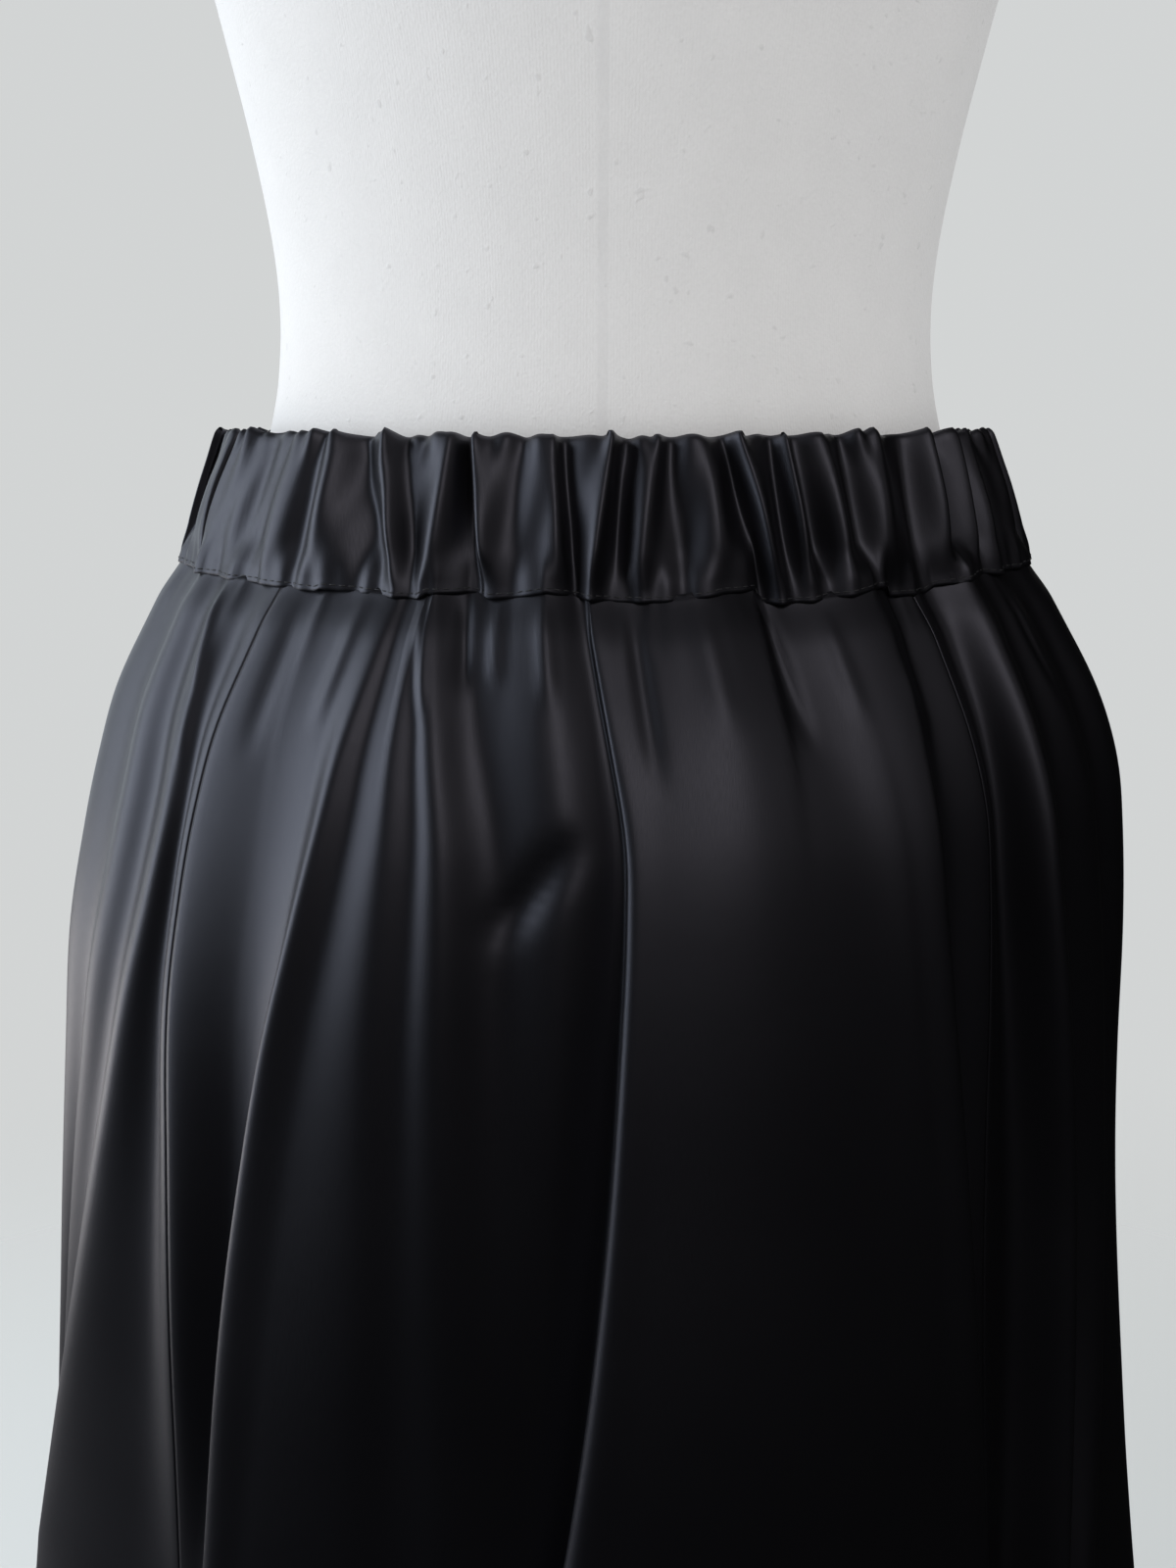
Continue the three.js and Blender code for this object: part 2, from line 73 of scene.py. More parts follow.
@dataclass(frozen=True)
class Level:
    """One level of an outline: its height, half width, half depth, and where its middle lies."""

    z: float
    half_width: float
    half_depth: float
    lean: float = 0.0
    forward: float = 0.0


@dataclass(frozen=True)
class Fold:
    """A fold line: its turn and its rise at the waist, high, middle and low levels."""

    name: str
    turn: tuple[float, float, float, float]
    rise: tuple[float, float, float, float]


@dataclass(frozen=True)
class Gather:
    """A ridge of the waistband and the valley on its right: turns at the rim and seam, and rise."""

    ridge: tuple[float, float, float]
    valley: tuple[float, float, float]


@dataclass(frozen=True)
class Crease:
    """A short crease from one (turn, z) to another, with its half width and its rise in mm."""

    start: tuple[float, float]
    end: tuple[float, float]
    width: float
    rise: float


SKIRT_LEVELS = (
    Level(991, 163, 118), Level(969, 175, 130), Level(943, 188, 143), Level(917, 196, 153),
    Level(891, 201, 160, -1.5), Level(850, 207, 168, -4), Level(800, 211, 176, -5.5),
    Level(740, 216, 185, -6.5), Level(670, 223, 193, -6.5), Level(600, 231, 202, -6.5),
    Level(500, 245, 216, -6), Level(400, 257, 228, -4), Level(320, 262, 232, -2),
    Level(260, 258, 228, -1), Level(215, 244, 215), Level(185, 226, 199), Level(168, 214, 189),
)

FOLD_HEIGHTS = (991.0, 905.0, 765.0, 600.0)

FRONT_FOLDS = (
    Fold("hip crest", (-76, -75, -78, -84), (3, 5, 5, 6)),
    Fold("hip valley", (-68, -66, -72, -79), (-1, -1, -2, -4)),
    Fold("outer crest", (-62, -59, -66, -75), (3, 4, 3, 2)),
    Fold("outer valley", (-57.5, -54, -61, -71), (0, -1, 0, 1)),
    Fold("lit crest", (-53, -49, -55.5, -67), (3, 5, 7, 10)),
    Fold("lit valley", (-47.5, -46.6, -48, -51), (0, 1, -5, -11)),
    Fold("left seam", (-42.3, -44.4, -42, -44), (2, 3, 3, -14)),
    Fold("left hollow", (-34, -36, -36.8, -40.5), (0, -2, -8, -12)),
    Fold("left flank", (-29, -30.5, -33.6, -37.5), (1, 0, -5, -2)),
    Fold("left crest", (-25, -28.1, -32.5, -34.4), (2, 6, 10, 11)),
    Fold("left shoulder", (-23.4, -25, -28, -31), (1, 2, 7, 9.5)),
    Fold("soft crest", (-22, -21, -21, -23), (1.5, 4, 4, 1.5)),
    Fold("soft valley", (-21, -18, -17, -17), (1, 1.5, 0, -5)),
    Fold("thin crest", (-20, -15, -13, -12.5), (1.6, 3, -1, -8)),
    Fold("dark valley", (-16.5, -10.5, -8.5, -9), (-3, -4.5, -6.5, -10.5)),
    Fold("faint crest", (-7.3, -4, -4, -6.8), (2, -1.5, -10.5, -13.5)),
    Fold("middle flank", (-3.5, 1.5, 1.2, -4.6), (-1.5, -7, -14, -16)),
    Fold("middle crest", (-2, 1.9, 0.7, -5.5), (0, 3, 7, 8.5)),
    Fold("panel dip", (3, 5, 4.8, 0.5), (-1, 4.6, 9.6, 12)),
    Fold("panel crown", (10, 13, 15, 13), (2, 7, 10, 11)),
    Fold("panel line", (17.6, 23, 25, 23), (-2, 5, 9, 9)),
    Fold("panel side", (26, 28, 31, 31), (3, 7, 9, 9)),
    Fold("pleat edge", (32, 31.7, 35.2, 36.5), (4, 8, 9, 9)),
    Fold("pleat flank", (33.4, 32.8, 36, 37.3), (1, -3, -8, -11)),
    Fold("pleat hollow", (36.5, 36.7, 38.2, 39), (-2, -7, -10, -12)),
    Fold("right seam", (40.2, 41.8, 41.8, 41), (-0.5, -4, -7, -9)),
    Fold("right hollow", (44.2, 45, 47.5, 44), (-3, -8, -9, -10)),
    Fold("right crest", (48.4, 47.4, 51, 46.8), (5, 9, 9, 9)),
    Fold("right valley", (53, 54, 56, 49.4), (0, -2, -6, -7)),
    Fold("low crest", (58, 61, 62.7, 52), (2, 3, 5, 8)),
    Fold("low valley", (64, 67, 68, 60), (-1, -1, -2, -8)),
    Fold("side crest", (72, 74, 75, 74), (3, 7, 5, 6)),
)
HIDDEN_RISE = (2.4, 5.0, 7.5, 9.0)

BAND_GATHERS = (
    Gather((-66, -66, 2.5), (-64.2, -65, -1)), Gather((-62, -64, 2), (-52, -50, -2)),
    Gather((-44, -46, 2.5), (-41, -41, -1)), Gather((-38, -36, 3), (-35, -27.5, -4)),
    Gather((-30, -25, 2.5), (-27, -23, -2.5)), Gather((-20.5, -20.8, 3), (-18.6, -15.6, -5)),
    Gather((-17, -14, 3), (-12, -10, -1.5)), Gather((-7.2, -5.6, 2.5), (-5.4, -3.8, -3)),
    Gather((0, -2, 3.5), (2, 0.6, -3)), Gather((6, 3.4, 1.5), (8, 8.6, -3)),
    Gather((12, 14, 2), (15, 18.2, -4)), Gather((17, 20, 3), (21, 21.8, -2)),
    Gather((23, 24, 3), (25, 26.4, -4)), Gather((29, 29, 2.5), (32, 32, -2)),
    Gather((36, 36, 3), (44, 42, -4)), Gather((48, 46, 3), (51, 48.4, -3)),
    Gather((55, 52, 3), (57, 54.6, -2)), Gather((60, 57, 2.5), (64, 62, -2)),
)

# Where the waist seam steps up or down: turn, and mm up.
SEAM_WANDER = (
    (-180, 0), (-150, 1.5), (-120, -1.5), (-90, 1), (-66, 0), (-46, 0), (-36.5, -0.5), (-35.5, 1),
    (-27, -0.5), (-22.3, -1), (-21.2, 1.6), (-16, 1.8), (-14, -0.2), (-11, 0.5), (-7, 4), (-3.6, 0.8),
    (-2, 0.4), (1, -1.2), (8, -0.6), (13, 2.8), (17.4, 3), (18.1, -3.6), (24, -2.6), (32, 1.6),
    (35, 2), (36, -3.4), (43, -4), (44.5, -1), (52, 2.6), (60, 0), (90, 1.2), (120, -1.5), (150, 1),
)

SHORT_CREASES = (
    Crease((-3.6, 916), (-9.6, 888), 6.0, -3.4), Crease((-53, 984), (-50, 958), 2.2, 1.6),
    Crease((-50, 966), (-48, 930), 2.6, 1.2), Crease((33.4, 964), (34.4, 944), 5.0, 1.5),
    Crease((-16.6, 986), (-15.6, 962), 2.4, -1.8),
    Crease((-7.2, 985), (-6, 958), 3, 1.2), Crease((18, 985), (19.5, 950), 3.2, -2.0),
    Crease((-21, 985), (-19, 955), 2.4, 1.6), Crease((-29, 984), (-31, 950), 3.4, 0.9),
    Crease((-12.5, 984), (-12, 964), 2.6, 1.0), Crease((2.6, 984), (4.4, 940), 3.0, -1.4),
    Crease((-38, 984), (-39, 940), 4.0, -0.9), Crease((10, 983), (11.5, 952), 4.0, 0.9),
    Crease((24.5, 984), (25.6, 955), 3.0, 0.8), Crease((57, 985), (59, 950), 2.6, -1.2),
)

TORSO_LEVELS = (
    Level(812, 152, 108), Level(820, 159, 114), Level(845, 165, 119), Level(890, 167, 121),
    Level(930, 162, 116.5), Level(960, 154, 110), Level(991, 144, 103), Level(1015, 135.5, 98),
    Level(1036, 129, 94.5), Level(1054, 125.2, 92.4), Level(1078, 123.5, 91.5),
    Level(1104, 125.2, 92.6, 0, 0.5), Level(1138, 130.8, 96, 0, 2), Level(1172, 138, 101, 0, 4),
    Level(1210, 146, 109, 0, 6.5), Level(1250, 151.5, 114.5, 0, 8), Level(1290, 152.5, 110, 0, 5),
    Level(1325, 156, 100), Level(1355, 164, 90, 0, -5), Level(1380, 170, 81, 0, -9),
    Level(1398, 168, 75, 0, -11), Level(1412, 154, 70, 0, -12), Level(1425, 128, 65, 0, -12),
    Level(1438, 98, 60, 0, -11), Level(1452, 72, 56.5, 0, -10), Level(1468, 59, 54, 0, -8),
    Level(1490, 54, 51, 0, -6), Level(1496, 47, 45, 0, -6),
)


# ---------------------------------------------------------------- curves and surfaces

def cubic_through(xs: np.ndarray, ys: np.ndarray, x: np.ndarray) -> np.ndarray:
    """A cubic through points, each slope the chord between the point's neighbours.

    Args:
        xs: Rising places of the points, shape (n,).
        ys: Their values, shape (n,) or (n, m) for m curves at once.
        x: Places to read; past the ends it holds the end value.

    Returns:
        The values at x, shape of x, followed by m.
    """
    x = np.clip(np.asarray(x, float), xs[0], xs[-1])
    i = np.clip(np.searchsorted(xs, x, side="right") - 1, 0, len(xs) - 2)
    before = np.maximum(np.arange(len(xs)) - 1, 0)
    after = np.minimum(np.arange(len(xs)) + 1, len(xs) - 1)
    run = xs[after] - xs[before]
    slopes = (ys[after] - ys[before]) / (run[:, None] if ys.ndim > 1 else run)
    span = xs[i + 1] - xs[i]
    t = (x - xs[i]) / span
    if ys.ndim > 1:
        t, span = t[..., None], span[..., None]
    rest = 1.0 - t
    return (
        ys[i] * rest**2 * (1 + 2 * t) + slopes[i] * span * t * rest**2
        + ys[i + 1] * t**2 * (3 - 2 * t) - slopes[i + 1] * span * t**2 * rest
    )


def smooth_step(x: np.ndarray, low: float, high: float) -> np.ndarray:
    """0 up to low, 1 from high, and 3t^2 - 2t^3 between."""
    t = np.clip((np.asarray(x, float) - low) / (high - low), 0.0, 1.0)
    return t * t * (3.0 - 2.0 * t)


def level_column(levels: tuple[Level, ...], name: str, z: np.ndarray) -> np.ndarray:
    """One named size of a table of levels, read at heights z."""
    rows = sorted(levels, key=lambda level: level.z)
    xs = np.array([row.z for row in rows], float)
    ys = np.array([getattr(row, name) for row in rows], float)
    return cubic_through(xs, ys, z)


def around(values: np.ndarray, place: np.ndarray, lap: float = 0.0) -> np.ndarray:
    """A closed Catmull-Rom curve through evenly counted knots.

    Args:
        values: Knots along the last axis, shape (rows, n).
        place: Places counted in knots, shape (columns,).
        lap: What the value grows by in one full round, such as 360 for a turn.

    Returns:
        Values at each row and place, shape (rows, columns).
    """
    count = values.shape[-1]
    whole = np.floor(place).astype(int)
    t = place - whole

    def knot(step: int) -> np.ndarray:
        """The knots that lie a step from each place."""
        index = whole + step
        return values[..., index % count] + lap * (index // count)

    p, q, r, s = knot(-1), knot(0), knot(1), knot(2)
    return q + 0.5 * t * (r - p + t * (2 * p - 5 * q + 4 * r - s + t * (3 * (q - r) + s - p)))


def grid_normals(points: np.ndarray, across_closed: bool) -> np.ndarray:
    """Unit normals of a grid from its neighbours; columns run anticlockwise seen from above.

    Args:
        points: Grid, shape (rows, columns, 3), its rows running down.
        across_closed: Whether the last column meets the first.

    Returns:
        Normals pointing out, the same shape.
    """
    if across_closed:
        across = np.roll(points, -1, axis=1) - np.roll(points, 1, axis=1)
    else:
        across = np.gradient(points, axis=1)
    down = np.gradient(points, axis=0)
    normals = np.cross(down, across)
    return normals / np.maximum(np.linalg.norm(normals, axis=2, keepdims=True), 1e-12)


def quads(rows: int, columns: int, closed_across: bool, closed_down: bool, start: int = 0) -> np.ndarray:
    """Corner numbers of a grid's faces, turned so that down cross across points out.

    Args:
        rows: Points down.
        columns: Points across.
        closed_across: Whether the last column joins the first.
        closed_down: Whether the last row joins the first.
        start: Number of the grid's first point.

    Returns:
        Faces, shape (faces, 4).
    """
    r = np.arange(rows if closed_down else rows - 1)[:, None]
    c = np.arange(columns if closed_across else columns - 1)[None, :]
    below = (r + 1) % rows
    beside = (c + 1) % columns
    corners = (r * columns + c, below * columns + c, below * columns + beside, r * columns + beside)
    return start + np.stack(np.broadcast_arrays(*corners), axis=-1).reshape(-1, 4)


def make_mesh(
    name: str, points: np.ndarray, faces: np.ndarray, uv: np.ndarray | None = None,
) -> bpy.types.Object:
    """A smooth-shaded mesh object at the origin.

    Args:
        name: Piece name.
        points: Vertices in millimetres, shape (n, 3).
        faces: Quads or triangles, shape (m, 4) or (m, 3).
        uv: Pattern coordinates of each vertex in metres, shape (n, 2), or None.

    Returns:
        The linked object.
    """
    mesh = bpy.data.meshes.new(name)
    sides = faces.shape[1]
    mesh.vertices.add(len(points))
    mesh.vertices.foreach_set("co", (points * MM).astype(np.float32).ravel())
    mesh.loops.add(faces.size)
    mesh.loops.foreach_set("vertex_index", faces.astype(np.int32).ravel())
    mesh.polygons.add(len(faces))
    mesh.polygons.foreach_set("loop_start", np.arange(0, faces.size, sides, dtype=np.int32))
    mesh.polygons.foreach_set("loop_total", np.full(len(faces), sides, np.int32))
    mesh.polygons.foreach_set("use_smooth", np.ones(len(faces), bool))
    if uv is not None:
        layer = mesh.uv_layers.new(name="cloth")
        layer.data.foreach_set("uv", uv[faces.ravel()].astype(np.float32).ravel())
    mesh.update(calc_edges=True)
    mesh.validate()
    made = bpy.data.objects.new(name, mesh)
    bpy.context.scene.collection.objects.link(made)
    return made


def lathe(name: str, profile: np.ndarray, sides: int) -> bpy.types.Object:
    """A turned piece: the profile (radius, z), from axis to axis, carried once round the z axis.

    Args:
        name: Piece name.
        profile: Points, shape (n, 2), from the top's middle to the bottom's.
        sides: Steps once round.

    Returns:
        The linked object.
    """
    turn = np.linspace(0, TWO_PI, sides, endpoint=False)
    radius, z = profile[:, 0, None], profile[:, 1, None]
    points = np.stack(np.broadcast_arrays(radius * np.sin(turn), -radius * np.cos(turn), z), axis=-1)
    faces = quads(len(profile), sides, True, False)
    made = make_mesh(name, points.reshape(-1, 3), faces)
    merge_doubles(made)
    return made


def merge_doubles(piece: bpy.types.Object) -> None:
    """Joins vertices that coincide, so that poles are closed, and turns the faces outwards."""
    work = bmesh.new()
    work.from_mesh(piece.data)
    bmesh.ops.remove_doubles(work, verts=work.verts, dist=1e-6)
    bmesh.ops.recalc_face_normals(work, faces=work.faces)
    work.to_mesh(piece.data)
    work.free()
    piece.data.polygons.foreach_set("use_smooth", np.ones(len(piece.data.polygons), bool))


# ---------------------------------------------------------------- shader maths

class Wire:
    """A shader socket whose arithmetic adds Math nodes."""

    def __init__(self, tree: bpy.types.NodeTree, socket: bpy.types.NodeSocket) -> None:
        """Wraps a socket of a tree."""
        self.tree = tree
        self.socket = socket

    def maths(self, operation: str, *others: "Wire | float") -> "Wire":
        """A Math node on this value and the others."""
        return Finish.node(self.tree, "ShaderNodeMath", {"operation": operation}, (self, *others))

    def __add__(self, other: "Wire | float") -> "Wire":
        """Sum."""
        return self.maths("ADD", other)

    __radd__ = __add__

    def __mul__(self, other: "Wire | float") -> "Wire":
        """Product."""
        return self.maths("MULTIPLY", other)

    __rmul__ = __mul__

    def __sub__(self, other: "Wire | float") -> "Wire":
        """Difference."""
        return self.maths("SUBTRACT", other)

    def __rsub__(self, other: float) -> "Wire":
        """Reflected difference."""
        return (self * -1.0) + other


class Finish:
    """Base of the finishes: makes a material and its nodes."""

    @staticmethod
    def node(
        tree: bpy.types.NodeTree, kind: str, settings: dict, inputs: dict | tuple,
        output: int | str = 0,
    ) -> Wire:
        """Adds a node.

        Args:
            tree: The material's tree.
            kind: Blender's node type.
            settings: Properties set first; "ramp" is a list of (position, grey) stops.
            inputs: Socket name or number to value or Wire, or a tuple in order.
            output: Socket returned.

        Returns:
            The chosen output.
        """
        made = tree.nodes.new(kind)
        for key, value in settings.items():
            if key == "ramp":
                Finish.set_ramp(made, value)
            else:
                setattr(made, key, value)
        entries = enumerate(inputs) if isinstance(inputs, tuple) else inputs.items()
        for key, value in entries:
            if isinstance(value, Wire):
                tree.links.new(value.socket, made.inputs[key])
            else:
                made.inputs[key].default_value = value
        return Wire(tree, made.outputs[output])

    @staticmethod
    def set_ramp(made: bpy.types.Node, stops: list[tuple[float, float]]) -> None:
        """Sets a ramp's first and last stops, as greys."""
        for element, (position, grey) in zip(made.color_ramp.elements, stops):
            element.position = position
            element.color = (grey, grey, grey, 1.0)

    @staticmethod
    def tint(tree: bpy.types.NodeTree, factor: Wire, low: tuple, high: tuple) -> Wire:
        """A colour between two, by a factor."""
        return Finish.node(
            tree, "ShaderNodeMix", {"data_type": "RGBA"},
            {"Factor": factor, 6: (*low, 1.0), 7: (*high, 1.0)}, 2,
        )

    @staticmethod
    def blank(name: str) -> tuple[bpy.types.Material, bpy.types.NodeTree, bpy.types.Node]:
        """A new material with its tree and its Principled node."""
        material = bpy.data.materials.new(name)
        material.use_nodes = True
        tree = material.node_tree
        return material, tree, tree.nodes["Principled BSDF"]


@dataclass(frozen=True)
class Satin(Finish):
    """Heavy black satin: a close warp grain, a broad cool gloss and faint uneven patches."""

    name: str = "heavy_black_satin"
    dark: tuple[float, float, float] = (0.0007, 0.0006, 0.0009)
    light: tuple[float, float, float] = (0.0022, 0.0019, 0.0021)
    roughness: float = 0.47
    roughness_swing: float = 0.09
    grain_relief: float = 0.10
    crumple_relief: float = 0.07
    gloss: float = 0.75
    gloss_tint: tuple[float, float, float] = (0.84, 0.83, 1.0)

    def build(self) -> bpy.types.Material:
        """Makes the material from the piece's cloth coordinates.

        Returns:
            The material.
        """
        material, tree, skin = self.blank(self.name)
        cloth = self.node(tree, "ShaderNodeUVMap", {"uv_map": "cloth"}, {})
        warp = self.node(
            tree, "ShaderNodeMapping", {}, {"Vector": cloth, "Scale": (3600.0, 260.0, 1.0)})
        grain = self.node(
            tree, "ShaderNodeTexNoise", {"noise_dimensions": "2D"},
            {"Vector": warp, "Scale": 1.0, "Detail": 2.0})
        place = self.node(tree, "ShaderNodeTexCoord", {}, {}, "Object")
        cloud = self.node(
            tree, "ShaderNodeTexNoise", {}, {"Vector": place, "Scale": 9.0, "Detail": 3.0})
        crumple = self.node(
            tree, "ShaderNodeTexNoise", {}, {"Vector": place, "Scale": 55.0, "Detail": 2.0})
        tint = self.tint(tree, 0.65 * cloud + 0.35 * grain, self.dark, self.light)
        rough = self.roughness + self.roughness_swing * (grain + cloud - 1.0)
        tree.links.new(tint.socket, skin.inputs["Base Color"])
        tree.links.new(rough.socket, skin.inputs["Roughness"])
        relief = self.node(
            tree, "ShaderNodeBump", {}, {"Strength": self.grain_relief, "Distance": 0.0002, "Height": grain})
        waves = self.node(
            tree, "ShaderNodeBump", {},
            {"Strength": self.crumple_relief, "Distance": 0.001, "Height": crumple, "Normal": relief})
        tree.links.new(waves.socket, skin.inputs["Normal"])
        skin.inputs["Specular IOR Level"].default_value = self.gloss
        skin.inputs["Specular Tint"].default_value = (*self.gloss_tint, 1.0)
        return material


@dataclass(frozen=True)
class Jersey(Finish):
    """Off-white jersey drawn over padding: fine upright ribs, fluff and a few specks of lint."""

    name: str = "off_white_jersey"
    low: tuple[float, float, float] = (0.640, 0.625, 0.627)
    high: tuple[float, float, float] = (0.800, 0.782, 0.784)
    rib_pitch: float = 0.0011

    def build(self) -> bpy.types.Material:
        """Makes the material from the piece's cloth coordinates.

        Returns:
            The material.
        """
        material, tree, skin = self.blank(self.name)
        cloth = self.node(tree, "ShaderNodeUVMap", {"uv_map": "cloth"}, {})
        ribs = self.node(
            tree, "ShaderNodeTexWave", {"bands_direction": "X"},
            {"Vector": cloth, "Scale": 0.314 / self.rib_pitch, "Distortion": 1.2, "Detail": 2.0,
             "Detail Scale": 2.0}, "Fac")
        place = self.node(tree, "ShaderNodeTexCoord", {}, {}, "Object")
        fluff = self.node(
            tree, "ShaderNodeTexNoise", {}, {"Vector": place, "Scale": 900.0, "Detail": 3.0})
        soft = self.node(
            tree, "ShaderNodeTexNoise", {}, {"Vector": place, "Scale": 60.0, "Detail": 2.0})
        lint = self.node(
            tree, "ShaderNodeTexNoise", {}, {"Vector": place, "Scale": 240.0, "Detail": 1.0})
        speck = self.node(tree, "ShaderNodeValToRGB", {"ramp": [(0.70, 0.0), (0.78, 1.0)]}, {"Fac": lint})
        shade = 0.06 * ribs + 0.45 * fluff + 0.3 * soft + 0.12 - 0.35 * speck
        tree.links.new(self.tint(tree, shade, self.low, self.high).socket, skin.inputs["Base Color"])
        height = 0.12 * ribs + 0.9 * fluff + 0.7 * soft + 0.8 * speck
        relief = self.node(
            tree, "ShaderNodeBump", {}, {"Strength": 0.35, "Distance": 0.0006, "Height": height})
        tree.links.new(relief.socket, skin.inputs["Normal"])
        skin.inputs["Roughness"].default_value = 0.92
        skin.inputs["Specular IOR Level"].default_value = 0.2
        skin.inputs["Sheen Weight"].default_value = 0.25
        return material


@dataclass(frozen=True)
class PowderCoat(Finish):
    """Off-white powder coat with a fine orange-peel and slight scuffs."""

    name: str = "stand_powder_coat"
    colour: tuple[float, float, float] = (0.70, 0.69, 0.66)
    scuffed: tuple[float, float, float] = (0.55, 0.54, 0.52)

    def build(self) -> bpy.types.Material:
        """Makes the material from object coordinates.

        Returns:
            The material.
        """
        material, tree, skin = self.blank(self.name)
        place = self.node(tree, "ShaderNodeTexCoord", {}, {}, "Object")
        peel = self.node(tree, "ShaderNodeTexNoise", {}, {"Vector": place, "Scale": 700.0})
        wear = self.node(tree, "ShaderNodeTexNoise", {}, {"Vector": place, "Scale": 24.0, "Detail": 5.0})
        mask = self.node(tree, "ShaderNodeValToRGB", {"ramp": [(0.60, 0.0), (0.75, 1.0)]}, {"Fac": wear})
        tint = self.tint(tree, mask, self.colour, self.scuffed)
        tree.links.new(tint.socket, skin.inputs["Base Color"])
        tree.links.new((0.38 + 0.15 * mask).socket, skin.inputs["Roughness"])
        relief = self.node(
            tree, "ShaderNodeBump", {}, {"Strength": 0.15, "Distance": 0.0004, "Height": peel})
        tree.links.new(relief.socket, skin.inputs["Normal"])
        return material


@dataclass(frozen=True)
class Thread(Finish):
    """Black topstitching thread, a little shinier than the cloth."""

    name: str = "topstitch_thread"
    dark: tuple[float, float, float] = (0.008, 0.008, 0.010)
    light: tuple[float, float, float] = (0.030, 0.029, 0.032)

    def build(self) -> bpy.types.Material:
        """Makes the material, its twist a fine wave on object coordinates.

        Returns:
            The material.
        """
        material, tree, skin = self.blank(self.name)
        place = self.node(tree, "ShaderNodeTexCoord", {}, {}, "Object")
        twist = self.node(tree, "ShaderNodeTexNoise", {}, {"Vector": place, "Scale": 2500.0})
        tint = self.tint(tree, twist, self.dark, self.light)
        tree.links.new(tint.socket, skin.inputs["Base Color"])
        skin.inputs["Roughness"].default_value = 0.5
        return material


def dress(piece: bpy.types.Object, material: bpy.types.Material, slot: Slot, *nodes: str) -> None:
    """Gives a piece its material, hides the CAD nodes it stands for, and fixes it to the root.

    Args:
        piece: The finished object.
        material: Its finish.
        slot: The record's slot; not used.
        nodes: CAD nodes it replaces.
    """
    piece.data.materials.append(material)
    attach(piece, "root")
    if nodes:
        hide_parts(*nodes)
    log.info("%s: %d faces", piece.name, len(piece.data.polygons))


# ---------------------------------------------------------------- the skirt

